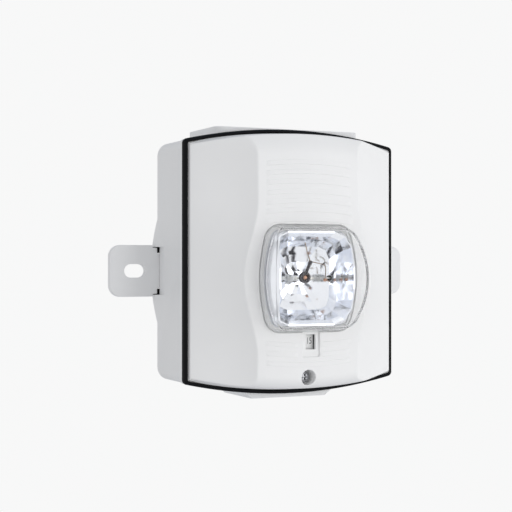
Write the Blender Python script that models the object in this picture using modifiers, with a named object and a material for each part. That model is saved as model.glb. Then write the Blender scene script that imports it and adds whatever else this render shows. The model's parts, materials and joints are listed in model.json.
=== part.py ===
"""A wall horn strobe on its weatherproof back box, taken apart into its real pieces.

Lengths here are millimetres, turned into metres as the meshes are made. X runs to the right
as a person facing the wall sees it, Y runs into the wall and Z is up. The origin is the
centre of the back box's rear face, on the wall. The depth d of a point on the head is its
distance in front of the head plane, where the head meets its gasket.
"""

import math

import bmesh
import bpy
from mathutils import Matrix, Vector

MM = 0.001
GAP = 0.3  # left between pieces that touch

# Back box
BOX_HALF_W = 60.9
BOX_HALF_H = 63.5
BOX_CORNER = 7.0
BOX_WALL = 3.0
BOX_FRONT = 37.3  # from the wall to the box's front edge
BOX_FLANGE = 3.8
BOSS_ROOT_Z = 50.0  # where the conduit bosses start inside the box
SWELL = 4.5  # how far each side swells out at the wall
SWELL_HALF_H = 28.0
SWELL_DEPTH = 14.0
TAB_Z = -5.0  # height of the mounting flanges
TOP_BOSS_HALF_W = 42.2
TOP_BOSS_Z = 70.3
BOTTOM_BOSS_HALF_W = 28.0
BOTTOM_BOSS_FLAT = 20.6
BOTTOM_BOSS_Z = 72.0
BOTTOM_BOSS_SLOPE = 5.0  # height of the slope at each side of the lower boss
TOP_POCKET = (38.0, 64.2)  # half width and top of the pocket behind the upper boss
BOTTOM_POCKET = (21.0, 66.4)
CONDUIT_R = 13.2
CONDUIT_Y = -18.5
PLUG_DEPTH = 4.6
PLUG_RECESS = 1.7
PLUG_SOCKET = 3.4
SOCKET_HALF_W = 5.0
SEAL_BORE_R = 10.5
POST_XZ = 46.0
POST_R = 4.5
POST_BORE_R = 1.65
WALL_HOLE_R = 2.5
WALL_HOLE_XZ = (32.2, 39.1)

# Mounting flanges
TAB_REACH = 88.4
TAB_HALF_H = 13.7
TAB_THICK = 3.8
TAB_ROOT = 57.4
TAB_NECK_HALF_H = 12.3
TAB_TONGUE_HALF_H = 9.3
TAB_CORNER = 6.2
SLOT_X = 74.6
SLOT_HALF_W = 6.0
SLOT_HALF_H = 3.6

# Gasket and head outline
HEAD_PLANE = 40.0
HEAD_HALF_W = 59.5
HEAD_HALF_H = 61.0
HEAD_BOW = 6.5  # extra height of the head at its middle
HEAD_CORNER = 2.0
GASKET_LIP = 1.7
GASKET_LAND = 4.4

# Front housing
SKIRT = 2.8  # depth of the straight edge all round
SHELL = 2.6
PANEL_HALF_W = 29.6  # raised centre panel
PANEL_BULGE = 5.2  # extra half width beside the lens
BULGE_SPAN = 41.0
PANEL_DEPTH = 22.0
WING_CURVE = 1.25
TOP_SHOULDER = 11.0
BOTTOM_SHOULDER = 9.0

# Lens, reflector and flash tube
LENS_Z = -8.7
LENS_HALF_H = 27.5
LENS_HALF_W = 28.0
LENS_END_HALF_W = 23.0
LENS_CORNER = 6.0
LENS_FRONT = 37.3
LENS_END_FRONT = 27.0
LENS_WALL = 1.8
LENS_REAR = 21.0
LENS_SEAT = 20.1
REFLECTOR_FLOOR = 8.5
REFLECTOR_HALF_W = 20.3
REFLECTOR_HALF_H = 23.0
REFLECTOR_RIM = 31.0
REFLECTOR_END_RIM = 23.2
TUBE_DEPTH = 13.5
TUBE_R = 1.9
LEAD_R = 0.45
LEAD_REACH = 20.4
CLIP_R = 3.0
GROMMET_X = (16.6, 19.0)

# Selector window and slide
WINDOW_Z = (-45.4, -37.6)
WINDOW_HALF_W = 2.6
SURROUND_Z = (-49.2, -35.5)
SURROUND_HALF_W = 5.2
SURROUND_FLOOR = 20.2
SLIDE_TRAVEL = 24.0
SLIDE_DEPTH = 16.6
STEM_Z = -44.2
STEM_SLOT_HALF_H = 2.4
STEM_SLOT_END = 3.2

# Captive screw
SCREW_Z = -59.9
WELL_R = 4.0
WELL_SEAT = 13.2
SHANK_R = 1.7
WELL_BORE_R = 1.98
GROOVE_R = 1.35

# Mounting plate, rear cover and circuit board
PLATE_REAR = 31.5
PLATE_THICK = 2.0
PLATE_HALF_W = 55.0
PLATE_HALF_H = 57.0
WIRE_WINDOW = (22.0, 21.0)
RIB_SLOT_X = 40.0
NUT_R = 4.4
NUT_BORE_R = 2.35
NUT_FRONT = 37.4
COVER_THICK = 2.0
COVER_INSET = 5.0
COVER_SCREW = (46.5, 50.0)
SCREW_POST_R = 3.0
SCREW_BORE_R = 1.5
BOARD_DEPTH = 5.0
BOARD_THICK = 1.6
BOARD_HALF_W = 41.0
BOARD_HALF_H = 53.6
BOARD_SCREW = (36.5, 46.0)
TERMINAL_PITCH = 11.0
TERMINAL_Z = -35.0
TERMINAL_HALF_W = 24.0
TERMINAL_HALF_H = 6.0
CLAMP_DROP = 2.4  # how far each clamp sits below the block's middle
BLADE_RISE = 3.3  # how far each blade sits above it
BLADE_HALF_W = 2.3
HOOK_X = 30.0
HOOK_HALF_W = 4.0
HOOK_Z = (57.4, 60.6)
DIAL_XZ = (26.0, 34.0)
DIAL_R = 4.2
HORN_Z = 40.0
CAPACITOR_R = 4.2

HINGE_Z = 67.7

MATERIALS = {
    "housing_white": ((0.86, 0.86, 0.85), 0.42, 0.0),
    "box_white": ((0.80, 0.80, 0.80), 0.5, 0.0),
    "gasket_black": ((0.02, 0.02, 0.022), 0.75, 0.0),
    "lens_clear": ((0.95, 0.97, 1.0), 0.05, 0.0),
    "reflector_bright": ((0.92, 0.93, 0.95), 0.08, 1.0),
    "tube_glass": ((0.9, 0.95, 1.0), 0.05, 0.0),
    "clip_dark": ((0.05, 0.045, 0.05), 0.35, 1.0),
    "wire_tinned": ((0.75, 0.74, 0.7), 0.3, 1.0),
    "screw_steel": ((0.62, 0.63, 0.65), 0.3, 1.0),
    "plate_grey": ((0.62, 0.63, 0.62), 0.55, 0.0),
    "terminal_black": ((0.03, 0.03, 0.035), 0.5, 0.0),
    "contact_brass": ((0.8, 0.62, 0.28), 0.3, 1.0),
    "board_green": ((0.03, 0.22, 0.1), 0.45, 0.0),
    "part_black": ((0.03, 0.03, 0.03), 0.4, 0.0),
    "winding_copper": ((0.7, 0.33, 0.16), 0.35, 1.0),
    "label_white": ((0.9, 0.9, 0.88), 0.5, 0.0),
}

pieces = None
cutters = None


# ---- scene, materials and helpers -------------------------------------------------------


def clear_scene():
    for old in list(bpy.data.objects):
        bpy.data.objects.remove(old, do_unlink=True)


def new_collection(name):
    collection = bpy.data.collections.new(name)
    bpy.context.scene.collection.children.link(collection)
    return collection


def material(name):
    found = bpy.data.materials.get(name)
    if found:
        return found
    color, roughness, metallic = MATERIALS[name]
    made = bpy.data.materials.new(name)
    made.use_nodes = True
    shader = made.node_tree.nodes["Principled BSDF"]
    shader.inputs["Base Color"].default_value = (*color, 1.0)
    shader.inputs["Roughness"].default_value = roughness
    shader.inputs["Metallic"].default_value = metallic
    return made


def add_object(name, mesh, slot=None):
    """Link a mesh as a piece with a material, or as a hidden cutter when it has none."""
    made = bpy.data.objects.new(name, mesh)
    if slot is None:
        cutters.objects.link(made)
        made.hide_render = True
        made.display_type = "WIRE"
    else:
        pieces.objects.link(made)
        mesh.materials.append(material(slot))
    return made


def mesh_of(bm, name):
    bmesh.ops.scale(bm, vec=(MM, MM, MM), verts=bm.verts)
    bmesh.ops.recalc_face_normals(bm, faces=bm.faces)
    mesh = bpy.data.meshes.new(name)
    bm.to_mesh(mesh)
    bm.free()
    return mesh


def block(name, low, high, slot=None, bevel=0.0):
    """A box between two corners, with rounded edges when a bevel is asked for."""
    bm = bmesh.new()
    size = [b - a for a, b in zip(low, high)]
    middle = [(a + b) / 2 for a, b in zip(low, high)]
    place = Matrix.Translation(middle) @ Matrix.Diagonal((*size, 1))
    bmesh.ops.create_cube(bm, size=1.0, matrix=place)
    made = add_object(name, mesh_of(bm, name), slot)
    if bevel:
        round_edges(made, bevel)
    return made


def round_edges(made, width, segments=2, angle=40.0):
    edge = made.modifiers.new("rounded edges", "BEVEL")
    edge.width = width * MM
    edge.segments = segments
    edge.limit_method = "ANGLE"
    edge.angle_limit = math.radians(angle)


TURN = {
    "X": Matrix.Rotation(math.pi / 2, 4, "Y"),
    "Y": Matrix.Rotation(math.pi / 2, 4, "X"),
    "Z": Matrix.Identity(4),
}


def rod(name, start, end, radius, slot=None, sides=24, end_radius=None):
    """A round bar, or a cone when the far radius differs, along one axis."""
    axis = "XYZ"[max(range(3), key=lambda i: abs(end[i] - start[i]))]
    length = sum(abs(b - a) for a, b in zip(start, end))
    middle = [(a + b) / 2 for a, b in zip(start, end)]
    bm = bmesh.new()
    bmesh.ops.create_cone(
        bm,
        cap_ends=True,
        segments=sides,
        radius1=radius,
        radius2=radius if end_radius is None else end_radius,
        depth=length,
        matrix=Matrix.Translation(middle) @ TURN[axis],
    )
    mesh = mesh_of(bm, name)
    mesh.shade_smooth()
    mesh.set_sharp_from_angle(angle=math.radians(35))
    return add_object(name, mesh, slot)


def turned(name, profile, base, slot=None, steps=24):
    """A solid turned about the Y axis: (radius, depth towards the front) down its outer side."""
    bm = bmesh.new()
    points = [bm.verts.new((r, 0.0, h)) for r, h in profile]
    for a, b in zip(points, points[1:]):
        bm.edges.new((a, b))
    if profile[0][0] > 0:
        bm.edges.new((points[-1], points[0]))
    bmesh.ops.scale(bm, vec=(MM, MM, MM), verts=bm.verts)
    mesh = bpy.data.meshes.new(name)
    bm.to_mesh(mesh)
    bm.free()
    made = add_object(name, mesh, slot)
    made.matrix_world = Matrix.Translation(Vector(base) * MM) @ TURN["Y"]
    screw = made.modifiers.new("turned", "SCREW")
    screw.axis = "Z"
    screw.steps = screw.render_steps = steps
    screw.use_merge_vertices = True
    screw.merge_threshold = 0.00001
    screw.use_normal_calculate = False
    screw.use_smooth_shade = True
    return made


def plate(name, outlines, rear, front, slot=None):
    """A flat piece in the X-Z plane from closed outlines, the first outer and the others holes."""
    curve = bpy.data.curves.new(name, "CURVE")
    curve.dimensions = "2D"
    curve.fill_mode = "BOTH"
    curve.extrude = abs(front - rear) / 2 * MM
    for outline in outlines:
        spline = curve.splines.new("POLY")
        spline.points.add(len(outline) - 1)
        for point, (x, z) in zip(spline.points, outline):
            point.co = (x * MM, z * MM, 0.0, 1.0)
        spline.use_cyclic_u = True
    drawn = bpy.data.objects.new(name + "_outline", curve)
    cutters.objects.link(drawn)
    bpy.context.view_layer.update()
    depsgraph = bpy.context.evaluated_depsgraph_get()
    mesh = bpy.data.meshes.new_from_object(drawn.evaluated_get(depsgraph))
    bpy.data.objects.remove(drawn, do_unlink=True)
    mesh.name = name
    mesh.materials.clear()
    mesh.transform(Matrix.Translation((0.0, (rear + front) / 2 * MM, 0.0)) @ TURN["Y"])
    bm = bmesh.new()
    bm.from_mesh(mesh)
    bmesh.ops.remove_doubles(bm, verts=bm.verts, dist=0.000001)
    bmesh.ops.recalc_face_normals(bm, faces=bm.faces)
    bm.to_mesh(mesh)
    bm.free()
    return add_object(name, mesh, slot)


def wire(name, route, radius, slot):
    """A thin round wire along a route, with closed ends."""
    curve = bpy.data.curves.new(name, "CURVE")
    curve.dimensions = "3D"
    curve.bevel_depth = radius * MM
    curve.bevel_resolution = 2
    curve.use_fill_caps = True
    spline = curve.splines.new("POLY")
    spline.points.add(len(route) - 1)
    for point, place in zip(spline.points, route):
        point.co = (*(v * MM for v in place), 1.0)
    curve.materials.append(material(slot))
    made = bpy.data.objects.new(name, curve)
    pieces.objects.link(made)
    return made


def loft(name, rings, slot=None):
    """A closed solid through rings of equally many points, capped at both ends."""
    bm = bmesh.new()
    rows = [[bm.verts.new(p) for p in ring] for ring in rings]
    for low, high in zip(rows, rows[1:]):
        for i in range(len(low)):
            j = (i + 1) % len(low)
            bm.faces.new((low[i], low[j], high[j], high[i]))
    bm.faces.new(rows[0])
    bm.faces.new(rows[-1])
    mesh = mesh_of(bm, name)
    mesh.shade_smooth()
    mesh.set_sharp_from_angle(angle=math.radians(40))
    return add_object(name, mesh, slot)


def prism(name, outline, rear, front, slot=None):
    """A flat piece or cutter of one outline, from its rear to its front."""
    return loft(name, [[(x, y, z) for x, z in outline] for y in (rear, front)], slot)


def combine(made, operation, others):
    for other in others:
        step = made.modifiers.new(operation.lower(), "BOOLEAN")
        step.operation = operation
        step.solver = "EXACT"
        step.object = other


def cut(made, *others):
    combine(made, "DIFFERENCE", others)


def join(made, *others):
    combine(made, "UNION", others)


def y_at(depth):
    """The Y of a depth in front of the head plane."""
    return -(HEAD_PLANE + depth)


def lerp(a, b, t):
    return a + (b - a) * t


# ---- outlines ---------------------------------------------------------------------------


def rounded_rect(half_w, half_h, radius, centre=(0.0, 0.0), arc=4, level=1, upright=1):
    """Points round a rectangle with arcs at its corners; its level and upright sides in steps."""
    corners = [(1, 1, 0), (-1, 1, 90), (-1, -1, 180), (1, -1, 270)]
    points = []
    for k, (sx, sz, turn) in enumerate(corners):
        cx, cz = sx * (half_w - radius), sz * (half_h - radius)
        for i in range(arc + 1):
            angle = math.radians(turn + 90 * i / arc)
            points.append((cx + radius * math.cos(angle), cz + radius * math.sin(angle)))
        nx, nz, turn = corners[(k + 1) % 4]
        start = points[-1]
        end_angle = math.radians(turn)
        end = (
            nx * (half_w - radius) + radius * math.cos(end_angle),
            nz * (half_h - radius) + radius * math.sin(end_angle),
        )
        steps = upright if k % 2 else level
        for i in range(1, steps):
            share = i / steps
            points.append((lerp(start[0], end[0], share), lerp(start[1], end[1], share)))
    return [(centre[0] + x, centre[1] + z) for x, z in points]


def head_outline(grow=0.0):
    """The head's bowed outline, grown outwards by a margin."""
    half_w, half_h = HEAD_HALF_W + grow, HEAD_HALF_H + grow
    flat = rounded_rect(half_w, half_h, HEAD_CORNER + max(grow, 0.0), level=10)
    return [(x, z * (1 + HEAD_BOW / half_h * (1 - (x / half_w) ** 2))) for x, z in flat]


def circle(centre, radius, sides=24):
    angles = [2 * math.pi * i / sides for i in range(sides)]
    return [(centre[0] + radius * math.cos(a), centre[1] + radius * math.sin(a)) for a in angles]


def rect(x0, x1, z0, z1):
    return [(x0, z0), (x1, z0), (x1, z1), (x0, z1)]


def barrel_outline(grow=0.0):
    """The lens's outline: straight top and bottom, sides that swell at mid height."""
    half_h = LENS_HALF_H + grow
    swell = LENS_HALF_W - LENS_END_HALF_W
    points = rounded_rect(LENS_END_HALF_W + grow, half_h, LENS_CORNER + grow, upright=8)
    return [(x + math.copysign(swell, x) * (1 - (z / half_h) ** 2), z + LENS_Z) for x, z in points]


# ---- the head's front surface -----------------------------------------------------------


def panel_half_width(z):
    """Half width of the raised panel, which swells beside the lens."""
    reach = min(abs(z - LENS_Z) / BULGE_SPAN, 1.0)
    return PANEL_HALF_W + PANEL_BULGE * math.cos(math.pi / 2 * reach) ** 2


def edge_height(x, inset):
    """Height of the head's top edge at x, with its corners rounded."""
    half_w = HEAD_HALF_W - inset
    radius = HEAD_CORNER
    height = HEAD_HALF_H - inset + HEAD_BOW * (1 - (x / half_w) ** 2)
    past = max(abs(x) - (half_w - radius), 0.0)
    return height - (radius - math.sqrt(max(radius**2 - past**2, 0.0)))


def front_depth(x, z, inset):
    """Depth of the front surface at a point, or of its inner side when inset."""
    half_w = panel_half_width(z)
    panel = PANEL_DEPTH - 1.2 * ((z - 5.0) / 60.0) ** 2
    across = abs(x)
    if across <= half_w:
        full = panel - 1.0 * (across / 34.0) ** 2
    else:
        crease = panel - 1.0 * (half_w / 34.0) ** 2
        share = (across - half_w) / (HEAD_HALF_W - half_w)
        full = SKIRT + (crease - SKIRT) * max(1 - share, 0.0) ** WING_CURVE
    reach = TOP_SHOULDER if z > 0 else BOTTOM_SHOULDER
    reach = max(reach * (full - SKIRT) / (PANEL_DEPTH - SKIRT), 0.5)
    share = min((edge_height(x, inset) - abs(z)) / reach, 1.0)
    shoulder = math.sqrt(max(1 - (1 - max(share, 0.0)) ** 2, 0.0))
    return SKIRT + (full - SKIRT) * shoulder - inset


def pillow(name, inset, rear, slot=None):
    """A closed solid under the front surface, or under its inner side when inset."""
    half_w = HEAD_HALF_W - inset
    across = [0.0, 8.0, 16.0, 24.0, 29.6, 32.2, 34.8, 38.0, 42.0, 47.0, 52.0, 55.5, 57.5, 58.9]
    across = [x * half_w / HEAD_HALF_W for x in across] + [half_w]
    columns = [-x for x in reversed(across[1:])] + across
    upward = [0.0, 0.12, 0.24, 0.36, 0.48, 0.6, 0.7, 0.78, 0.84, 0.88, 0.92, 0.955, 0.98, 0.994, 1.0]
    rows = [-t for t in reversed(upward[1:])] + upward
    bm = bmesh.new()
    grid = []
    for t in rows:
        line = []
        for x in columns:
            z = t * edge_height(x, inset)
            line.append(bm.verts.new((x, y_at(front_depth(x, z, inset)), z)))
        grid.append(line)
    for low, high in zip(grid, grid[1:]):
        for i in range(len(low) - 1):
            bm.faces.new((low[i], low[i + 1], high[i + 1], high[i]))
    rim = [edge for edge in bm.edges if edge.is_boundary]
    grown = bmesh.ops.extrude_edge_only(bm, edges=rim)["geom"]
    lowest = [v for v in grown if isinstance(v, bmesh.types.BMVert)]
    for v in lowest:
        v.co.y = -rear
    bmesh.ops.contextual_create(bm, geom=[e for e in bm.edges if e.is_boundary])
    mesh = mesh_of(bm, name)
    mesh.shade_smooth()
    mesh.set_sharp_from_angle(angle=math.radians(25))
    return add_object(name, mesh, slot)


# ---- back box and what is fixed to it ---------------------------------------------------


def make_back_box():
    """The box that stands on the wall: its rim, conduit bosses, side swellings and posts."""
    walls = [rounded_rect(BOX_HALF_W, BOX_HALF_H, BOX_CORNER)]
    box = plate("back_box", walls, 0.0, -BOX_FRONT + 0.4, "box_white")
    rim = plate("box_rim", [head_outline(GASKET_LIP - GAP)], -BOX_FRONT + BOX_FLANGE, -BOX_FRONT)
    boss_front = -BOX_FRONT + 0.2
    low = (-TOP_BOSS_HALF_W, boss_front, BOSS_ROOT_Z)
    top = block("top_boss", low, (TOP_BOSS_HALF_W, 0.0, TOP_BOSS_Z), bevel=1.2)
    join(box, rim, top, plate("bottom_boss", [bottom_boss_outline()], 0.0, boss_front))
    for side in (-1, 1):
        join(box, side_swelling(side))
    cut(box, *box_cavity())
    for x, z in four_corners(POST_XZ, POST_XZ):
        join(box, rod("plate_post", (x, -1.0, z), (x, -(PLATE_REAR - GAP), z), POST_R, sides=16))
        cut(box, rod("post_hole", (x, -12.0, z), (x, -PLATE_REAR - 1, z), POST_BORE_R, sides=12))
    for x, z in four_corners(*WALL_HOLE_XZ):
        cut(box, rod("wall_hole", (x, 1.0, z), (x, -BOX_WALL - 1, z), WALL_HOLE_R, sides=16))
    for side in (-1, 1):
        near, far = sorted((side * (TAB_ROOT - GAP), side * 62.0))
        reach = TAB_NECK_HALF_H + GAP
        low = (near, -TAB_THICK - GAP, TAB_Z - reach)
        cut(box, block("tab_groove", low, (far, 1.0, TAB_Z + reach)))
    return box


def four_corners(x, z):
    return [(sx * x, sz * z) for sx in (-1, 1) for sz in (-1, 1)]


def bottom_boss_outline():
    """The lower conduit boss from the front: a flat with a slope at each side."""
    right = [
        (BOTTOM_BOSS_FLAT + 1.0, -BOTTOM_BOSS_Z),
        (BOTTOM_BOSS_HALF_W, -BOTTOM_BOSS_Z + BOTTOM_BOSS_SLOPE),
        (BOTTOM_BOSS_HALF_W, -BOSS_ROOT_Z),
    ]
    return right + [(-x, z) for x, z in reversed(right)]


def side_swelling(side):
    """The smooth swelling of the box's side towards the wall, about the mounting flange."""
    sunk = 0.3  # how far the swelling's edges are buried in the box's side
    rings = []
    for k in range(7):
        share = k / 6
        y = -SWELL_DEPTH * share
        fade = math.cos(math.pi / 2 * max(share - 0.2, 0.0) / 0.8) ** 2
        swell = SWELL * fade - 2 * sunk * share
        ring = [(side * (BOX_HALF_W - 2), y, TAB_Z + end * SWELL_HALF_H) for end in (1, -1)]
        for i in range(15):
            t = 2 * i / 14 - 1
            x = BOX_HALF_W - sunk + (swell + sunk) * (1 - t * t)
            ring.append((side * x, y, TAB_Z + t * SWELL_HALF_H))
        rings.append(ring)
    swelling = loft("side_swelling", rings)
    near, far = sorted((side * 50.0, side * 80.0))
    reach = TAB_NECK_HALF_H + GAP + 0.15
    cut(swelling, block("tab_room", (near, -30.0, TAB_Z - reach), (far, 5.0, TAB_Z + reach)))
    return swelling


def box_cavity():
    """Cutters for the wiring space, the two pockets behind the bosses and the conduit entries."""
    half_w, half_h = BOX_HALF_W - BOX_WALL, BOX_HALF_H - BOX_WALL
    space = plate("wiring_space", [rounded_rect(half_w, half_h, BOX_CORNER - 2)], -BOX_WALL, -50.0)
    half, height = TOP_POCKET
    upper = block("upper_pocket", (-half, -50.0, BOSS_ROOT_Z), (half, -BOX_WALL, height))
    half, height = BOTTOM_POCKET
    lower = block("lower_pocket", (-half, -50.0, -height), (half, -BOX_WALL, -BOSS_ROOT_Z))
    top = rod("top_entry", (0, CONDUIT_Y, 55), (0, CONDUIT_Y, 80), CONDUIT_R, sides=32)
    bottom = rod("bottom_entry", (0, CONDUIT_Y, -80), (0, CONDUIT_Y, -55), CONDUIT_R, sides=32)
    return space, upper, lower, top, bottom


def make_mounting_flange(name, side):
    """A side tab with a slot for the wall screw, its tongue let into the box's side."""
    upper = [(TAB_ROOT, TAB_TONGUE_HALF_H), (BOX_HALF_W + 1.2, TAB_TONGUE_HALF_H)]
    upper += [(BOX_HALF_W + 1.2, TAB_NECK_HALF_H), (BOX_HALF_W + SWELL + GAP, TAB_NECK_HALF_H)]
    upper += [(BOX_HALF_W + SWELL + GAP, TAB_HALF_H)]
    for i in range(7):
        angle = math.radians(90 - 90 * i / 6)
        x = TAB_REACH - TAB_CORNER + TAB_CORNER * math.cos(angle)
        upper.append((x, TAB_HALF_H - TAB_CORNER + TAB_CORNER * math.sin(angle)))
    outer = upper + [(x, -z) for x, z in reversed(upper)]
    slot = []
    run = SLOT_HALF_W - SLOT_HALF_H
    for cx, start in ((SLOT_X + run, -90), (SLOT_X - run, 90)):
        for i in range(7):
            angle = math.radians(start + 180 * i / 6)
            slot.append((cx + SLOT_HALF_H * math.cos(angle), SLOT_HALF_H * math.sin(angle)))
    outlines = [[(side * x, z + TAB_Z) for x, z in line] for line in (outer, slot)]
    return plate(name, outlines, 0.0, -TAB_THICK, "box_white")


def make_conduit_plug(name, seal_name, up):
    """A threaded entry plug with a square socket, and the ring that seals its head."""
    face = up * (TOP_BOSS_Z if up > 0 else BOTTOM_BOSS_Z)
    radius = CONDUIT_R - GAP

    def below(depth):
        return (0.0, CONDUIT_Y, face - up * depth)

    plug = rod(name, below(PLUG_DEPTH), below(PLUG_RECESS), radius, "box_white", 32)
    low, high = sorted((face, face - up * PLUG_SOCKET))
    near, far = CONDUIT_Y - SOCKET_HALF_W, CONDUIT_Y + SOCKET_HALF_W
    cut(plug, block("plug_socket", (-SOCKET_HALF_W, near, low), (SOCKET_HALF_W, far, high)))
    ring = rod(seal_name, below(PLUG_RECESS - GAP), below(0.4), radius, "gasket_black", 32)
    cut(ring, rod("ring_hole", below(3.0), below(-3.0), SEAL_BORE_R, sides=32))
    return plug, ring


def make_gasket():
    outlines = [head_outline(GASKET_LIP), head_outline(-GASKET_LAND)]
    return plate("perimeter_gasket", outlines, -BOX_FRONT - GAP, y_at(-GAP), "gasket_black")


def make_mounting_plate():
    """The grey plate in the box: tongues for the hooks and the captive screw's nut."""
    outline = rounded_rect(PLATE_HALF_W, PLATE_HALF_H, 6.0)
    window = rounded_rect(*WIRE_WINDOW, 4.0, centre=(0.0, 2.0))
    holes = [circle(place, 1.9, 12) for place in four_corners(POST_XZ, POST_XZ)]
    rear, front = -PLATE_REAR, -(PLATE_REAR + PLATE_THICK)
    made = plate("mounting_plate", [outline, window, *holes], rear, front, "plate_grey")
    tongue = block("lower_tongue", (-9.0, front, -65.2), (9.0, rear, -50.0))
    nut = rod("nut_boss", (0, rear, SCREW_Z), (0, -NUT_FRONT, SCREW_Z), NUT_R, sides=20)
    upper = block("upper_tongue", (-36.0, front, 50.0), (36.0, rear, 61.5))
    join(made, tongue, nut, upper)
    for side in (-1, 1):
        x0, x1 = side * HOOK_X - HOOK_HALF_W, side * HOOK_X + HOOK_HALF_W
        low, high = HOOK_Z
        join(made, block("hook_arm", (x0, y_at(4.0), low), (x1, rear, low + 1.8)))
        join(made, block("hook_lip", (x0, y_at(4.0), low), (x1, y_at(2.8), high)))
    cut(made, rod("nut_hole", (0, -20, SCREW_Z), (0, -50, SCREW_Z), NUT_BORE_R, sides=20))
    for x in (-RIB_SLOT_X, RIB_SLOT_X):
        cut(made, block("rib_slot", (x - 2.0, -50, -24.0), (x + 2.0, -20, 26.0)))
    return made


def pan_screw(name, place, towards, head_r, head_h, shank_r, shank, slot="screw_steel"):
    """A pan-head screw along Y with a cross recess; the head faces towards (-1 is the front)."""
    x, y, z = place
    head = rod(name, (x, y, z), (x, y + towards * head_h, z), head_r, slot, sides=20)
    join(head, rod("shank", (x, y + towards * 0.3, z), (x, y - towards * shank, z), shank_r, sides=14))
    top = y + towards * head_h
    for wide, tall in ((head_r * 0.62, head_r * 0.16), (head_r * 0.16, head_r * 0.62)):
        low, high = sorted((top + towards, top - towards * head_h * 0.55))
        cut(head, block("cross_recess", (x - wide, low, z - tall), (x + wide, high, z + tall)))
    return head


def make_plate_screws():
    y = -(PLATE_REAR + PLATE_THICK + GAP)
    for i, (x, z) in enumerate(four_corners(POST_XZ, POST_XZ), 1):
        pan_screw(f"plate_screw_{i}", (x, y, z), -1, 3.4, 2.0, 1.35, 14.0)


def terminal_columns():
    return [(i - 1.5) * TERMINAL_PITCH for i in range(4)]


def make_terminals():
    """The terminal block on the mounting plate with its screws and clamps."""
    rear = -(PLATE_REAR + PLATE_THICK + GAP)
    front = y_at(-1.1)
    low = (-TERMINAL_HALF_W, front, TERMINAL_Z - TERMINAL_HALF_H)
    high = (TERMINAL_HALF_W, rear, TERMINAL_Z + TERMINAL_HALF_H)
    body = block("terminal_block", low, high, "terminal_black", 0.5)
    slot_low, slot_high = TERMINAL_Z + BLADE_RISE - 1.6, TERMINAL_Z + BLADE_RISE + 1.6
    z = TERMINAL_Z - CLAMP_DROP
    for i, x in enumerate(terminal_columns(), 1):
        cut(body, block("clamp_pocket", (x - 3.7, front - 1, z - 5), (x + 3.7, front + 3.6, z + 3.2)))
        cut(body, rod("clamp_hole", (x, front, z), (x, rear + 0.6, z), 1.6, sides=12))
        cut(body, block("blade_slot", (x - 2.9, front - 1, slot_low), (x + 2.9, rear - 0.6, slot_high)))
        low, high = (x - 3.2, front + 2.2, z - 3.2), (x + 3.2, front + 3.2, z + 2.8)
        clamp = block(f"terminal_clamp_{i}", low, high, "contact_brass")
        cut(clamp, rod("clamp_bore", (x, front, z), (x, rear, z), 1.6, sides=12))
        pan_screw(f"terminal_screw_{i}", (x, front + 1.8, z), -1, 2.6, 1.5, 1.2, 2.5)


def make_shorting_spring():
    """A leaf that bridges the two middle terminals while the head is off."""
    outline = []
    for radius, order in ((9.0, range(11)), (8.5, range(10, -1, -1))):
        for i in order:
            angle = math.radians(50 + 80 * i / 10)
            outline.append((radius * math.cos(angle), radius * math.sin(angle) - 5.2))
    made = plate("shorting_spring", [outline], -1.5, 1.5, "contact_brass")
    place = Matrix.Translation(Vector((0, -34.1, TERMINAL_Z + 8.4)) * MM)
    made.data.transform(place @ TURN["Y"])


# ---- head -------------------------------------------------------------------------------


def make_front_housing():
    """The white front: a shell under the front surface, with its posts and the screw well."""
    hollow = pillow("housing_hollow", SHELL, HEAD_PLANE - 2.0)
    well = rod("well_wall", (0, y_at(7.5), SCREW_Z), (0, y_at(40), SCREW_Z), WELL_R + 1.4)
    cut(hollow, well)
    cover_posts = [(place, COVER_THICK + GAP, 0.0, 6.2) for place in four_corners(*COVER_SCREW)]
    board_posts = [(place, BOARD_DEPTH + BOARD_THICK + GAP, 5.0, 11.5) for place in board_screws()]
    posts = cover_posts + board_posts
    for (x, z), start, _, _ in posts:
        cut(hollow, rod("post", (x, y_at(start), z), (x, y_at(30.0), z), SCREW_POST_R, sides=12))
    housing = pillow("front_housing", 0.0, HEAD_PLANE, "housing_white")
    cut(housing, hollow)
    cut(housing, prism("lens_seat", barrel_outline(GAP), y_at(LENS_SEAT), y_at(60)))
    cut(housing, prism("lens_opening", barrel_outline(-2.6), y_at(5.0), y_at(60)))
    half_w, (low, high) = SURROUND_HALF_W, SURROUND_Z
    cut(housing, block("surround", (-half_w, y_at(60), low), (half_w, y_at(SURROUND_FLOOR), high)))
    half_w, (low, high) = WINDOW_HALF_W, WINDOW_Z
    cut(housing, block("window", (-half_w, y_at(60), low), (half_w, y_at(5.0), high)))
    cut(housing, rod("well", (0, y_at(WELL_SEAT), SCREW_Z), (0, y_at(60), SCREW_Z), WELL_R))
    cut(housing, rod("well_bore", (0, y_at(0), SCREW_Z), (0, y_at(60), SCREW_Z), WELL_BORE_R, sides=16))
    for (x, z), _, start, deep in posts:
        cut(housing, rod("post_bore", (x, y_at(start), z), (x, y_at(deep), z), SCREW_BORE_R, sides=12))
    return housing


def board_screws():
    x, z = BOARD_SCREW
    return [(-x, z), (x, z)]


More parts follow.
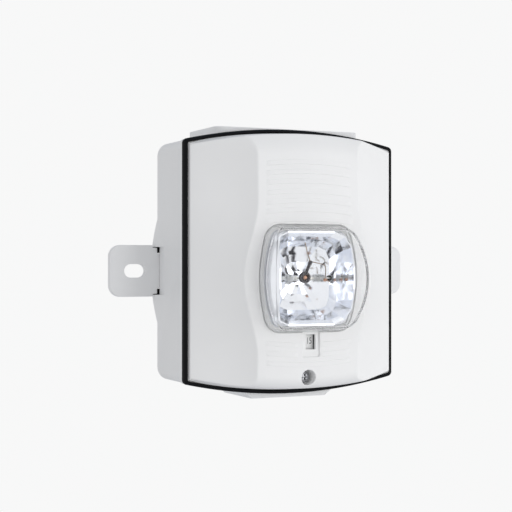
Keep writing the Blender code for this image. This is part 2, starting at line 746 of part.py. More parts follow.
def make_rear_cover():
    """The head's rear cover, with holes for its screws, the dial, the blades and the hooks."""
    outline = head_outline(-COVER_INSET)
    cover = prism("rear_cover", outline, y_at(0.0), y_at(COVER_THICK), "plate_grey")
    holes = [(x, z, 1.9) for x, z in four_corners(*COVER_SCREW)]
    holes += [(0.0, SCREW_Z, 3.9), (*DIAL_XZ, DIAL_R + 0.4)]
    for x, z, radius in holes:
        cut(cover, rod("cover_hole", (x, y_at(-5), z), (x, y_at(5), z), radius, sides=20))
    blade_z = TERMINAL_Z + BLADE_RISE
    slots = [stem_slot()]
    slots += [(x - 2.9, x + 2.9, blade_z - 1.2, blade_z + 1.2) for x in terminal_columns()]
    slots += [(x - 5.4, x + 5.4, HOOK_Z[0] - 2.2, 70.0) for x in (-HOOK_X, HOOK_X)]
    for x0, x1, z0, z1 in slots:
        cut(cover, block("cover_slot", (x0, y_at(-5), z0), (x1, y_at(5), z1)))
    return cover


def stem_slot():
    """The slot that the selector's stem runs in: its left, right, bottom and top."""
    left = -SLIDE_TRAVEL - STEM_SLOT_END
    return left, STEM_SLOT_END, STEM_Z - STEM_SLOT_HALF_H, STEM_Z + STEM_SLOT_HALF_H


def make_cover_screws():
    return [
        pan_screw(f"cover_screw_{i}", (x, y_at(-GAP), z), 1, 2.8, 1.7, 1.2, 5.2)
        for i, (x, z) in enumerate(four_corners(*COVER_SCREW), 1)
    ]


def lens_front(z):
    """Depth of the lens's front at a height, an arc from one end of the lens to the other."""
    rise = LENS_FRONT - LENS_END_FRONT
    radius = (LENS_HALF_H**2 + rise**2) / (2 * rise)
    away = min(abs(z - LENS_Z), LENS_HALF_H)
    return LENS_FRONT - radius + math.sqrt(radius**2 - away**2)


def lens_body(name, grow, drop, rear, slot=None):
    """A closed body under the lens's front, all of it or its inner side."""
    rings = [[(x, y_at(rear), z) for x, z in barrel_outline(grow)]]
    rings.append([(x, y_at(lens_front(z) - drop - 2.6), z) for x, z in barrel_outline(grow - 0.7)])
    rings.append([(x, y_at(lens_front(z) - drop - 0.9), z) for x, z in barrel_outline(grow - 1.2)])
    for inward in (1.0, 0.86, 0.7, 0.5, 0.25):
        ring = []
        for x, z in barrel_outline(grow - 1.8):
            z = LENS_Z + (z - LENS_Z) * inward
            ring.append((x * inward, y_at(lens_front(z) - drop), z))
        rings.append(ring)
    return loft(name, rings, slot)


def make_lens():
    lens = lens_body("lens", 0.0, 0.0, LENS_REAR, "lens_clear")
    cut(lens, lens_body("lens_hollow", -LENS_WALL, LENS_WALL, LENS_REAR - 4.0))
    return lens


def make_lens_seal():
    rings = [barrel_outline(-0.1), barrel_outline(-1.9)]
    return plate("lens_seal", rings, y_at(LENS_SEAT + GAP), y_at(LENS_REAR - GAP), "gasket_black")


def reflector_ring(share, grow):
    """One ring of the reflector's bowl between its floor (0) and its rim (1)."""
    spread = share**0.5
    half_w = lerp(8.0, REFLECTOR_HALF_W, spread) + grow
    half_h = lerp(9.5, REFLECTOR_HALF_H, spread) + grow
    radius = lerp(4.0, 7.5, spread) + grow
    ring = []
    for x, z in rounded_rect(half_w, half_h, radius, arc=3, level=3, upright=3):
        rim = lerp(REFLECTOR_RIM, REFLECTOR_END_RIM, (z / (REFLECTOR_HALF_H + 1)) ** 2)
        ring.append((x, y_at(lerp(REFLECTOR_FLOOR, rim, share)), z + LENS_Z))
    return ring


def make_reflector():
    shares = (0.0, 0.06, 0.16, 0.3, 0.46, 0.64, 0.82, 1.0)
    outer = [[(x, y + 1.2, z) for x, y, z in reflector_ring(0.0, 1.0)]]
    outer += [reflector_ring(s, 1.0) for s in shares[1:]]
    inner = [reflector_ring(s, 0.0) for s in shares]
    made = loft("reflector", outer + list(reversed(inner)), "reflector_bright")
    side = rod("lead_hole", (-30, y_at(TUBE_DEPTH), LENS_Z), (30, y_at(TUBE_DEPTH), LENS_Z), 1.2, sides=12)
    cut(made, side)
    return made


def make_flash_tube():
    """The xenon tube along X, with its end caps and leads."""
    y = y_at(TUBE_DEPTH)
    tube = rod("flash_tube", (-9.5, y, LENS_Z), (9.0, y, LENS_Z), TUBE_R, "tube_glass", 16)
    lead_ends = (-LEAD_REACH, y, LENS_Z), (LEAD_REACH, y, LENS_Z)
    join(tube, rod("tube_leads", *lead_ends, LEAD_R, sides=10))
    return tube


def make_tube_clip():
    """A dark ring about the tube's middle, with an arm up to the trigger wire."""
    y = y_at(TUBE_DEPTH)
    bore = CLIP_R - 0.7
    profile = [(CLIP_R, 2.6), (CLIP_R, -2.6), (bore, -2.6), (bore, 2.6)]
    ring = turned("tube_clip", profile, (0, y, LENS_Z), "clip_dark", steps=20)
    ring.matrix_world = Matrix.Translation(Vector((0, y, LENS_Z)) * MM) @ TURN["X"]
    arm = block("clip_arm", (-0.8, y - 7.5, LENS_Z + 2.6), (0.8, y + 0.8, LENS_Z + 3.6))
    tip = block("clip_tip", (-0.8, y - 7.5, LENS_Z + 2.6), (0.8, y - 6.3, LENS_Z + 8.6))
    join(ring, arm, tip)
    return ring


def make_trigger_wire():
    y = y_at(TUBE_DEPTH)
    start = (0.0, y - 7.0, LENS_Z + 9.3)
    bend = (-0.6, y - 7.0, LENS_Z + 13.0)
    end = (-1.6, y - 6.4, LENS_Z + 16.6)
    return wire("trigger_wire", [start, bend, end], 0.3, "wire_tinned")


def make_grommet(name, side):
    """A soft bush on a lead, outside the reflector."""
    y = y_at(TUBE_DEPTH)
    x0, x1 = (side * x for x in GROMMET_X)
    bush = rod(name, (x0, y, LENS_Z), (x1, y, LENS_Z), 1.9, "gasket_black", 14)
    cut(bush, rod("bush_hole", (side * 10, y, LENS_Z), (side * 25, y, LENS_Z), 0.8, sides=10))
    return bush


def make_circuit_board():
    outlines = [rounded_rect(BOARD_HALF_W, BOARD_HALF_H, 3.0)]
    outlines += [circle(place, 1.9, 12) for place in board_screws()]
    outlines.append(rect(*stem_slot()))
    front = y_at(BOARD_DEPTH + BOARD_THICK)
    return plate("circuit_board", outlines, y_at(BOARD_DEPTH), front, "board_green")


def make_board_screws():
    y = y_at(BOARD_DEPTH - GAP)
    return [
        pan_screw(f"board_screw_{i}", (x, y, z), 1, 2.6, 1.5, 1.2, 5.6)
        for i, (x, z) in enumerate(board_screws(), 1)
    ]


def bobbin(name, radius, height, place):
    """A wound drum with a flange at each end and a hole through it, standing on the board."""
    winding, bore, flange = radius - 0.8, 1.0, 1.2
    profile = [(radius, height), (radius, height - flange), (winding, height - flange)]
    profile += [(winding, flange), (radius, flange), (radius, 0.0), (bore, 0.0), (bore, height)]
    return turned(name, profile, place, "winding_copper")


def make_electronics():
    """What stands on the circuit board."""
    base = BOARD_DEPTH + BOARD_THICK + GAP
    x, axis = -33.4, y_at(base + CAPACITOR_R)
    can = rod("flash_capacitor", (x, axis, -23.0), (x, axis, 4.0), CAPACITOR_R, "part_black", 24)
    round_edges(can, 0.6)
    coil = bobbin("trigger_transformer", 4.2, 6.2, (33.5, y_at(base), -18.0))
    drum = bobbin("boost_inductor", 4.6, 5.8, (33.5, y_at(base), 3.0))
    low, high = (27.0, y_at(base + 2.2), -40.0), (35.0, y_at(base), -30.0)
    chip = block("control_chip", low, high, "part_black", 0.3)
    return can, coil, drum, chip


def make_horn():
    """The horn: a chamber behind the front's bars with a piezo disc in it."""
    base = BOARD_DEPTH + BOARD_THICK + GAP
    outer, inner, lip, mouth = 15.0, 14.0, 12.6, 4.0
    profile = [(mouth, 11.0), (outer, 11.0), (outer, 0.0), (lip, 0.0)]
    profile += [(lip, 3.0), (inner, 3.0), (inner, 9.6), (mouth, 9.6)]
    chamber = turned("horn_chamber", profile, (0, y_at(base), HORN_Z), "part_black", steps=32)
    rear, front = (0, y_at(base + 3.3), HORN_Z), (0, y_at(base + 4.0), HORN_Z)
    disc = rod("piezo_disc", rear, front, inner - GAP, "contact_brass", 32)
    return chamber, disc


def make_contact_blades():
    z, thick = TERMINAL_Z + BLADE_RISE, 0.4
    rear, front = y_at(-4.4), y_at(BOARD_DEPTH - GAP)
    blades = []
    for i, x in enumerate(terminal_columns(), 1):
        low, high = (x - BLADE_HALF_W, front, z - thick), (x + BLADE_HALF_W, rear, z + thick)
        blades.append(block(f"contact_blade_{i}", low, high, "contact_brass"))
    return blades


def make_tone_switch():
    """The rotary switch for the horn's tone, with its dial in the rear cover."""
    x, z = DIAL_XZ
    half = 6.0
    low = (x - half, y_at(BOARD_DEPTH - GAP), z - half)
    high = (x + half, y_at(COVER_THICK + GAP), z + half)
    body = block("tone_switch", low, high, "part_black", 0.4)
    dial = rod("tone_dial", (x, y_at(COVER_THICK), z), (x, y_at(-0.8), z), DIAL_R, "label_white", 24)
    cut(dial, block("dial_slot", (x - 0.6, y_at(0.4), z - 5.0), (x + 0.6, y_at(-3.0), z + 2.4)))
    return body, dial


def make_candela_slide():
    """The strip behind the window, with its stem through the board and the cover."""
    low, high = (-3.4, y_at(SLIDE_DEPTH + 1.0), -46.4), (27.4, y_at(SLIDE_DEPTH), -37.4)
    strip = block("candela_slide", low, high, "label_white")
    low, high = (-1.6, y_at(SLIDE_DEPTH + 0.4), STEM_Z - 1.5), (1.6, y_at(-2.0), STEM_Z + 1.5)
    join(strip, block("stem", low, high))
    return strip


def make_captive_screw():
    """The screw that holds the head shut, and the washer that keeps it in the head."""
    head = (0, y_at(WELL_SEAT + GAP), SCREW_Z)
    collar = (0, y_at(0.0), SCREW_Z)
    screw = pan_screw("captive_screw", head, -1, 3.05, 2.3, SHANK_R, 21.4)
    groove = [(3.0, 2.0), (3.0, 0.0), (GROOVE_R, 0.0), (GROOVE_R, 2.0)]
    cut(screw, turned("washer_groove", groove, collar, steps=14))
    bore = GROOVE_R + GAP
    profile = [(3.4, 1.4), (3.4, 0.6), (bore, 0.6), (bore, 1.4)]
    return screw, turned("captive_washer", profile, collar, "screw_steel", steps=20)


# ---- bodies that move -------------------------------------------------------------------


def pivot(name, place, parent=None):
    """An empty on a joint's axis, which its moving pieces are parented to."""
    made = bpy.data.objects.new(name, None)
    pieces.objects.link(made)
    made.location = Vector(place) * MM
    made.empty_display_size = 0.01
    bpy.context.view_layer.update()
    if parent:
        attach(parent, made)
    return made


def attach(parent, *children):
    bpy.context.view_layer.update()
    for child in children:
        child.parent = parent
        child.matrix_parent_inverse = parent.matrix_world.inverted()


def flatten(groups):
    for item in groups:
        if isinstance(item, (list, tuple)):
            yield from flatten(item)
        else:
            yield item


def main():
    global pieces, cutters
    clear_scene()
    pieces = new_collection("horn_strobe")
    cutters = new_collection("cutters")

    make_back_box()
    make_gasket()
    make_conduit_plug("conduit_plug_top", "plug_seal_top", 1)
    make_conduit_plug("conduit_plug_bottom", "plug_seal_bottom", -1)
    make_mounting_plate()
    make_plate_screws()
    make_terminals()
    make_shorting_spring()
    left = make_mounting_flange("mounting_flange_left", -1)
    right = make_mounting_flange("mounting_flange_right", 1)
    attach(pivot("left_flange_slide", (-TAB_ROOT, 0, TAB_Z)), left)
    attach(pivot("right_flange_slide", (TAB_ROOT, 0, TAB_Z)), right)

    switch, dial = make_tone_switch()
    slide = make_candela_slide()
    screw, washer = make_captive_screw()
    fixed = [
        make_front_housing(),
        make_rear_cover(),
        make_cover_screws(),
        make_lens(),
        make_lens_seal(),
        make_reflector(),
        make_flash_tube(),
        make_tube_clip(),
        make_trigger_wire(),
        make_grommet("tube_grommet_left", -1),
        make_grommet("tube_grommet_right", 1),
        make_circuit_board(),
        make_board_screws(),
        make_electronics(),
        make_horn(),
        make_contact_blades(),
        switch,
    ]
    head = pivot("head_hinge", (0, y_at(0), HINGE_Z))
    attach(head, *flatten(fixed))
    attach(pivot("tone_dial_axis", (DIAL_XZ[0], y_at(0), DIAL_XZ[1]), head), dial)
    attach(pivot("candela_slide_axis", (0, y_at(17.0), STEM_Z), head), slide)
    travel = pivot("captive_screw_travel", (0, y_at(0), SCREW_Z), head)
    attach(travel, washer)
    attach(pivot("captive_screw_turn", (0, y_at(0), SCREW_Z), travel), screw)
    bpy.context.view_layer.update()


main()
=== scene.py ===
"""The visible model of a wall horn strobe on its weatherproof back box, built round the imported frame.

Lengths in this file are millimetres unless a name says otherwise, and are turned into metres as
the meshes are made. X runs to the right as seen from the front, Y into the wall and Z up. The
depth d of a point is its distance in front of the head plane, where the head meets its gasket.
"""

import json
import math

import bmesh
import bpy
from mathutils import Matrix, Vector


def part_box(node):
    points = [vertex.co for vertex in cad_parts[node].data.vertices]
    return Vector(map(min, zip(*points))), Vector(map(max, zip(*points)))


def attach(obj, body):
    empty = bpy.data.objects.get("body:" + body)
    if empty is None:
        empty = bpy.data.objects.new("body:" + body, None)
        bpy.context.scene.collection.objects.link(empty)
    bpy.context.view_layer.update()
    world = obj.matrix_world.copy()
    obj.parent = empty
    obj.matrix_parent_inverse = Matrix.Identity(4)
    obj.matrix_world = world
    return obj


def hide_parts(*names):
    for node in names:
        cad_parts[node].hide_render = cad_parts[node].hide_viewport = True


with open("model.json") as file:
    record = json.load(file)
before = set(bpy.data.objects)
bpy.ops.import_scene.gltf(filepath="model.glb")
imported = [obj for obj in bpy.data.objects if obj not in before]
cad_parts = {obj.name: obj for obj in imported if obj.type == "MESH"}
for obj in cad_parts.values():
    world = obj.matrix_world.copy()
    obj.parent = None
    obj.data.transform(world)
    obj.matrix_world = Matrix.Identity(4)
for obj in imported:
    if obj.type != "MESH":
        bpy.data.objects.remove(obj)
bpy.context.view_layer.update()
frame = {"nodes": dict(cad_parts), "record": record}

MM = 0.001


def span(node):
    """The lowest and highest corners of a CAD node in millimetres."""
    low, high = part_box(node)
    return low / MM, high / MM


def middle(node):
    low, high = span(node)
    return (low + high) / 2


# ---- dimensions, led by the frame ---------------------------------------------------------

HEAD_LOW, HEAD_HIGH = span("front_housing")
HEAD_PLANE = -HEAD_HIGH.y
HEAD_HALF_W = HEAD_HIGH.x
HEAD_BOW = 6.5
GASKET_BOW = 7.2
HEAD_HALF_H = HEAD_HIGH.z - HEAD_BOW
HEAD_CORNER = 1.0
FRONT_HALF_W = HEAD_HALF_W - 0.9  # half width at the front's own edge
FRONT_INSET = 1.5  # how far the front's top and bottom edges stand in from the base
FRONT_CORNER = 0.4
SKIRT = 1.9  # depth of the front at its side edges
SHELL = 2.6  # wall of the front
PANEL_DEPTH = -HEAD_LOW.y - HEAD_PLANE
PANEL_HALF_W = 28.8
PANEL_BULGE = 7.6
BULGE_SPAN = 41.0
PANEL_CROWN = 34.0  # at this distance from its middle line the panel has dropped by 1
PANEL_ARCH = (1.2, 5.0, 60.0)  # the panel drops by the first, at the third's distance from the second
WING_CURVE = (1.22, -0.485, 0.25)
TOP_SLOPE = 0.45
TOP_ROLL = (2.5, 10.5)  # the top shoulder is straight up to the first distance, and ends at the second
BOTTOM_ROLL = 6.0
EDGE_ROUND = 0.7
CREASE_BLEND = 0.45
RIB_HEIGHT = 0.24
RIB_SAG = 1.5 / 24.0**2

LENS_LOW, LENS_HIGH = span("lens")
LENS_Z = (LENS_LOW.z + LENS_HIGH.z) / 2
LENS_HALF_H = (LENS_HIGH.z - LENS_LOW.z) / 2
LENS_HALF_W = LENS_HIGH.x
LENS_END_HALF_W = 23.0
LENS_CORNER = 6.0
LENS_FRONT = -LENS_LOW.y - HEAD_PLANE
LENS_END_FRONT = 27.0
LENS_REAR = -LENS_HIGH.y - HEAD_PLANE
LENS_SEAT = LENS_REAR - 0.9
LENS_WALL = 1.2
LENS_DRAFT = 1.4  # how far the lens's sides lean in
LENS_GAP = 0.3
LENS_OPENING = (21.9, 24.6, 8.4)  # half width, half height, corner
FAR_OUT = 60.0  # a depth well past everything

GASKET_LIP = span("perimeter_gasket")[1].x - HEAD_HALF_W

BOX_LOW, BOX_HIGH = span("back_box")
SCREW = middle("captive_screw")
SCREW_LOW, SCREW_HIGH = span("captive_screw")
SCREW_HEAD_R = 3.05
SCREW_HEAD_THICK = 2.3
SHANK_R = 1.7
THREAD_START = -3.0
THREAD_PITCH = 0.7
WELL_R = 4.0
WELL_WALL = 1.4
WELL_SEAT = 13.2
WELL_BORE_R = 1.98

SURROUND = ((-3.8, 6.0), (-49.2, -35.5))  # from and to in X, from and to in Z
SURROUND_FLOOR = 20.2
WINDOW = ((-1.6, 4.0), (-45.4, -37.6))


def y_at(depth):
    return -(HEAD_PLANE + depth)


def lerp(a, b, t):
    return a + (b - a) * t


def clamp(value):
    return min(max(value, 0.0), 1.0)


# ---- mesh helpers --------------------------------------------------------------------------


def finish_mesh(name, bm, sharp=35.0):
    """A linked object from a mesh in millimetres, with edges sharp above an angle."""
    bmesh.ops.scale(bm, vec=(MM, MM, MM), verts=bm.verts)
    bmesh.ops.recalc_face_normals(bm, faces=bm.faces)
    mesh = bpy.data.meshes.new(name)
    bm.to_mesh(mesh)
    bm.free()
    smooth(mesh, sharp)
    return add_object(name, mesh)


def add_object(name, data):
    made = bpy.data.objects.new(name, data)
    bpy.context.scene.collection.objects.link(made)
    return made


def smooth(mesh, sharp):
    mesh.shade_smooth()
    mesh.set_sharp_from_angle(angle=math.radians(sharp))


def loft(name, rings, sharp=35.0, loop=False):
    """A closed solid through rings of equally many points, capped at its ends or closed in a loop."""
    bm = bmesh.new()
    rows = [[bm.verts.new(p) for p in ring] for ring in rings]
    pairs = list(zip(rows, rows[1:] + rows[:1] if loop else rows[1:]))
    for low, high in pairs:
        for i in range(len(low)):
            j = (i + 1) % len(low)
            bm.faces.new((low[i], low[j], high[j], high[i]))
    if not loop:
        bm.faces.new(rows[0])
        bm.faces.new(rows[-1])
    return finish_mesh(name, bm, sharp)


def rounding(radius, steps=3):
    """Pairs of inset and distance along, round an edge from its flat face out to its full outline."""
    turns = [math.pi / 2 * k / steps for k in range(steps + 1 if radius else 1)]
    return [(radius * (1 - math.sin(a)), radius * (1 - math.cos(a))) for a in turns]


def slab(name, grow_outline, rear, front, rear_round=0.0, front_round=0.0):
    """A flat piece between two Y values, its outer edges rounded."""
    way = 1 if front > rear else -1
    rings = [[(x, rear + way * along, z) for x, z in grow_outline(-inset)]
             for inset, along in rounding(rear_round)]
    rings += [[(x, front - way * along, z) for x, z in grow_outline(-inset)]
              for inset, along in reversed(rounding(front_round))]
    return loft(name, rings)


def prism(name, outline, rear, front, bevel=0.0, axis="Y"):
    """A flat piece of one outline between two values along Y or Z, its edges bevelled."""
    made = loft(name, [[(a, t, b) if axis == "Y" else (a, b, t) for a, b in outline] for t in (rear, front)])
    if bevel:
        round_edges(made, bevel)
    return made


def block(name, low, high, bevel=0.0):
    bm = bmesh.new()
    size = [b - a for a, b in zip(low, high)]
    centre = [(a + b) / 2 for a, b in zip(low, high)]
    bmesh.ops.create_cube(bm, size=1.0, matrix=Matrix.Translation(centre) @ Matrix.Diagonal((*size, 1)))
    made = finish_mesh(name, bm)
    if bevel:
        round_edges(made, bevel)
    return made


def round_edges(made, width):
    """Bevel every edge that turns by more than 40 degrees."""
    step = made.modifiers.new("rounded", "BEVEL")
    step.width = width * MM
    step.segments = 3
    step.limit_method = "ANGLE"
    step.angle_limit = math.radians(40.0)
    bake(made)


def bake(made, sharp=35.0):
    """Apply a piece's modifiers to its mesh."""
    bpy.context.view_layer.update()
    graph = bpy.context.evaluated_depsgraph_get()
    mesh = bpy.data.meshes.new_from_object(made.evaluated_get(graph))
    made.modifiers.clear()
    old = made.data
    made.data = mesh
    bpy.data.meshes.remove(old)
    smooth(mesh, sharp)


def combine(made, operation, others, sharp=35.0):
    group = bpy.data.collections.new("operands")
    bpy.context.scene.collection.children.link(group)
    for other in others:
        group.objects.link(other)
    step = made.modifiers.new("solid", "BOOLEAN")
    step.operation = operation
    step.solver = "EXACT"
    step.operand_type = "COLLECTION"
    step.collection = group
    bake(made, sharp)
    for other in others:
        bpy.data.objects.remove(other, do_unlink=True)
    bpy.data.collections.remove(group)


def cut(made, *others, sharp=35.0):
    combine(made, "DIFFERENCE", others, sharp)


def unite(made, *others):
    combine(made, "UNION", others)


def turned(name, profile, centre, axis="Y", steps=48):
    """A solid turned about an axis through a point, from (radius, distance along the axis)."""
    along = {"X": Vector((1, 0, 0)), "Y": Vector((0, 1, 0)), "Z": Vector((0, 0, 1))}[axis]
    side = {"X": Vector((0, 1, 0)), "Y": Vector((1, 0, 0)), "Z": Vector((1, 0, 0))}[axis]
    other = along.cross(side)
    centre = Vector(centre)
    bm = bmesh.new()
    rows = []
    for r, h in profile:
        if r == 0:
            rows.append([bm.verts.new(centre + along * h)])
            continue
        turns = [2 * math.pi * i / steps for i in range(steps)]
        rows.append([bm.verts.new(centre + along * h + r * (side * math.cos(a) + other * math.sin(a)))
                     for a in turns])
    closed = profile[0][0] > 0
    pairs = zip(rows, rows[1:] + rows[:1]) if closed else zip(rows, rows[1:])
    for low, high in pairs:
        for i in range(steps):
            j = (i + 1) % steps
            corners = [low[i % len(low)], low[j % len(low)], high[j % len(high)], high[i % len(high)]]
            corners = [v for k, v in enumerate(corners) if v not in corners[:k]]
            if len(corners) > 2:
                bm.faces.new(corners)
    return finish_mesh(name, bm)


def rod(name, start, end, radius, round_end=0.0, steps=32):
    """A round bar along one axis, its ends rounded."""
    axis = "XYZ"[max(range(3), key=lambda i: abs(end[i] - start[i]))]
    length = end["XYZ".index(axis)] - start["XYZ".index(axis)]
    way = 1 if length > 0 else -1
    edge = rounding(round_end)
    profile = [(0.0, 0.0)] + [(radius - inset, way * along) for inset, along in edge]
    profile += [(radius - inset, length - way * along) for inset, along in reversed(edge)]
    profile.append((0.0, length))
    return turned(name, profile, start, axis, steps)


def tube_along(name, route, radius, sides=12):
    """A round wire along a route of points."""
    points = [Vector(p) for p in route]
    rings = []
    guide = Vector((0.31, 0.52, 0.79)).normalized()
    for i, p in enumerate(points):
        ahead = points[min(i + 1, len(points) - 1)] - points[max(i - 1, 0)]
        ahead.normalize()
        side = ahead.cross(guide).normalized()
        other = ahead.cross(side)
        turns = [2 * math.pi * k / sides for k in range(sides)]
        rings.append([p + radius * (side * math.cos(a) + other * math.sin(a)) for a in turns])
    return loft(name, rings)


def bend(route, radius):
    """A route with its corners rounded."""
    steps = 5
    points = [Vector(p) for p in route]
    made = [points[0]]
    for a, b, c in zip(points, points[1:], points[2:]):
        into, out = (b - a), (c - b)
        reach = min(radius, into.length * 0.45, out.length * 0.45)
        start, end = b - into.normalized() * reach, b + out.normalized() * reach
        for k in range(steps + 1):
            t = k / steps
            made.append(start * (1 - t) ** 2 + b * 2 * t * (1 - t) + end * t**2)
    made.append(points[-1])
    return made


# ---- outlines ------------------------------------------------------------------------------


def arc_points(x, z, radius, start, turn, steps):
    """Points on an arc round a centre, from an angle in degrees through a turn."""
    angles = [math.radians(start + turn * i / steps) for i in range(steps + 1)]
    return [(x + radius * math.cos(a), z + radius * math.sin(a)) for a in angles]


def rounded_rect(half_w, half_h, radius, centre=(0.0, 0.0), arc=8, level=1, upright=1):
    corners = [arc_points(sx * (half_w - radius), sz * (half_h - radius), radius, turn, 90, arc)
               for sx, sz, turn in ((1, 1, 0), (-1, 1, 90), (-1, -1, 180), (1, -1, 270))]
    points = []
    for k, corner in enumerate(corners):
        points += corner
        start, end = corner[-1], corners[(k + 1) % 4][0]
        steps = upright if k % 2 else level
        for i in range(1, steps):
            share = i / steps
            points.append((lerp(start[0], end[0], share), lerp(start[1], end[1], share)))
    return [(centre[0] + x, centre[1] + z) for x, z in points]


def barrel_outline(grow=0.0):
    """The lens's outline: straight ends, and sides that swell towards the middle."""
    half_h = LENS_HALF_H + grow
    swell = LENS_HALF_W - LENS_END_HALF_W
    radius = max(LENS_CORNER + grow, 0.6)
    points = rounded_rect(LENS_END_HALF_W + grow, half_h, radius, arc=10, level=16, upright=24)
    return [(x + math.copysign(swell, x) * (1 - (z / half_h) ** 2), z + LENS_Z) for x, z in points]


def rect_outline(x_span, z_span, radius):
    (x0, x1), (z0, z1) = x_span, z_span
    centre = ((x0 + x1) / 2, (z0 + z1) / 2)

    def grown(grow):
        return rounded_rect((x1 - x0) / 2 + grow, (z1 - z0) / 2 + grow, max(radius + grow, 0.05),
                            centre, arc=6, level=4, upright=4)

    return grown


def round_outline(x, z, radius):
    sides = 48

    def grown(grow):
        return [(x + (radius + grow) * math.cos(2 * math.pi * i / sides),
                 z + (radius + grow) * math.sin(2 * math.pi * i / sides)) for i in range(sides)]

    return grown


def mirrored(side):
    """A closed outline from its right side."""
    return side + [(-x, other) for x, other in reversed(side)]


# ---- the head's front surface --------------------------------------------------------------


def panel_half_width(z):
    reach = min(abs(z - LENS_Z) / BULGE_SPAN, 1.0)
    return PANEL_HALF_W + PANEL_BULGE * math.cos(math.pi / 2 * reach) ** 2


def edge_height(x, inset=0.0):
    """Height of the front's top edge at x, with its small corner rounded."""
    height = HEAD_HALF_H - FRONT_INSET - inset + HEAD_BOW * (1 - (x / HEAD_HALF_W) ** 2)
    past = max(abs(x) - (FRONT_HALF_W - inset - FRONT_CORNER), 0.0)
    return height - (FRONT_CORNER - math.sqrt(max(FRONT_CORNER**2 - past**2, 0.0)))


def soft_min(a, b, blend):
    return min(a, b) - blend / 4 * max(1 - abs(a - b) / blend, 0.0) ** 2


def wing_share(w):
    """Height of the wing between the head's edge (0) and the crease (1), w of the way from the crease."""
    a, b, c = WING_CURVE
    return 1 - (a * w + b * w**2 + c * w**3) / (a + b + c)


def top_drop(e):
    """How far the panel has dropped at a distance from its top edge."""
    near, far = TOP_ROLL
    if e >= far:
        return 0.0
    if e >= near:
        return TOP_SLOPE * (far - e) ** 2 / (2 * (far - near))
    return TOP_SLOPE * (far - near) / 2 + TOP_SLOPE * (near - e)


def round_drop(e, radius):
    """How far a rounded edge has dropped at a distance from it."""
    near = min(max(e, 0.0), radius)
    return radius - math.sqrt(max(radius**2 - (radius - near) ** 2, 0.0))


def front_depth(x, z, inset=0.0):
    """Depth of the front surface at a point, without its ribs."""
    half_w = panel_half_width(z)
    across = abs(x)
    drop, peak, reach = PANEL_ARCH
    panel = PANEL_DEPTH - drop * ((z - peak) / reach) ** 2
    crease = panel - (half_w / PANEL_CROWN) ** 2
    e = edge_height(x) - abs(z)
    flat = panel - (across / PANEL_CROWN) ** 2 - (top_drop(e) if z > 0 else round_drop(e, BOTTOM_ROLL))
    share = (across - half_w) / (FRONT_HALF_W - half_w)
    wing = SKIRT + (crease - SKIRT) * wing_share(min(share, 1.0))
    return soft_min(flat, wing, CREASE_BLEND) - inset


# Each rib is (z at the middle, left end, right end); ends are shares of the panel's half width.
RIB_GAP = (-0.25, 0.235)  # the ribs beside the window's surround stop here
RIBS = [(z, -1.0, 1.0) for z in (51.3, 46.4, 41.5, 36.3, 31.4, 26.8, 21.9, -53.1)]
RIBS += [(z, *ends) for z in (-43.0, -48.1) for ends in ((-1.0, RIB_GAP[0]), (RIB_GAP[1], 1.0))]
RIB_HALF = 1.15
RIB_EDGE = 0.05
RIB_END = 0.81  # share of the panel's half width, as is the next
RIB_END_EDGE = 0.035
BOW_FROM = 21.0  # rows further out than this sag as the ribs do
LAST_RIB_ROW = 54.5  # from here on the rows follow the head's edge
ROWS_BETWEEN = (-50.6, -45.5, 24.3, 29.1, 33.8, 38.9, 44.0, 48.9, 53.3, 54.5, -55.5, -41.0, 20.1)
ROWS_AT_EDGE = (0.0, 0.05, 0.15, 0.3, 0.5, 0.75, 1.1, 1.6, 2.3, 3.2, 4.2, 5.4, 6.6, 7.8, 9.0, 10.2, 11.4)
PANEL_COLUMNS = 27
WING_COLUMNS = (0.012, 0.024, 0.036, 0.05, 0.07, 0.1, 0.14, 0.19, 0.25, 0.31, 0.37, 0.43, 0.49, 0.55, 0.61,
                0.67, 0.73, 0.78, 0.83, 0.87, 0.9, 0.925, 0.945, 0.96, 0.97, 0.979, 0.987, 0.993, 0.997, 1.0)


def rib_profile(t, s):
    """Height of the ribs at a row (its z at the middle) and a share of the panel's half width."""
    height = 0.0
    for z0, left, right in RIBS:
        up = clamp((RIB_HALF + RIB_EDGE - abs(t - z0)) / (2 * RIB_EDGE))
        inside = min(s - max(left, -RIB_END), min(right, RIB_END) - s)
        along = clamp((inside + RIB_END_EDGE) / (2 * RIB_END_EDGE))
        height = max(height, RIB_HEIGHT * up * along)
    return height


def row_height(t, x):
    """The z of a row of the front's mesh at x; the row is named by its z at the middle."""
    away = abs(t)
    if away <= LAST_RIB_ROW:
        bow = min(away / BOW_FROM, 1.0)
        return math.copysign(away - bow * RIB_SAG * x * x, t)
    share = (away - LAST_RIB_ROW) / (edge_height(0.0) - LAST_RIB_ROW)
    return math.copysign(lerp(LAST_RIB_ROW - RIB_SAG * x * x, edge_height(x), share), t)


def spaced(values, gap):
    """The values in order, without those that follow another too closely."""
    kept = []
    for value in sorted(values):
        if not kept or value - kept[-1] > gap:
            kept.append(value)
    return kept


def front_rows():
    """Rows of the front's mesh by their z at the middle, closer at the edges of ribs and head."""
    top = edge_height(0.0)
    rows = {0.0, *ROWS_BETWEEN, *(float(z) for z in range(-39, 20, 2))}
    for z0, _, _ in RIBS:
        for off in (RIB_HALF + RIB_EDGE, RIB_HALF - RIB_EDGE):
            rows.update((round(z0 - off, 3), round(z0 + off, 3)))
        rows.add(z0)
    for near in ROWS_AT_EDGE:
        rows.update((top - near, near - top))
    return spaced(rows, 0.04)


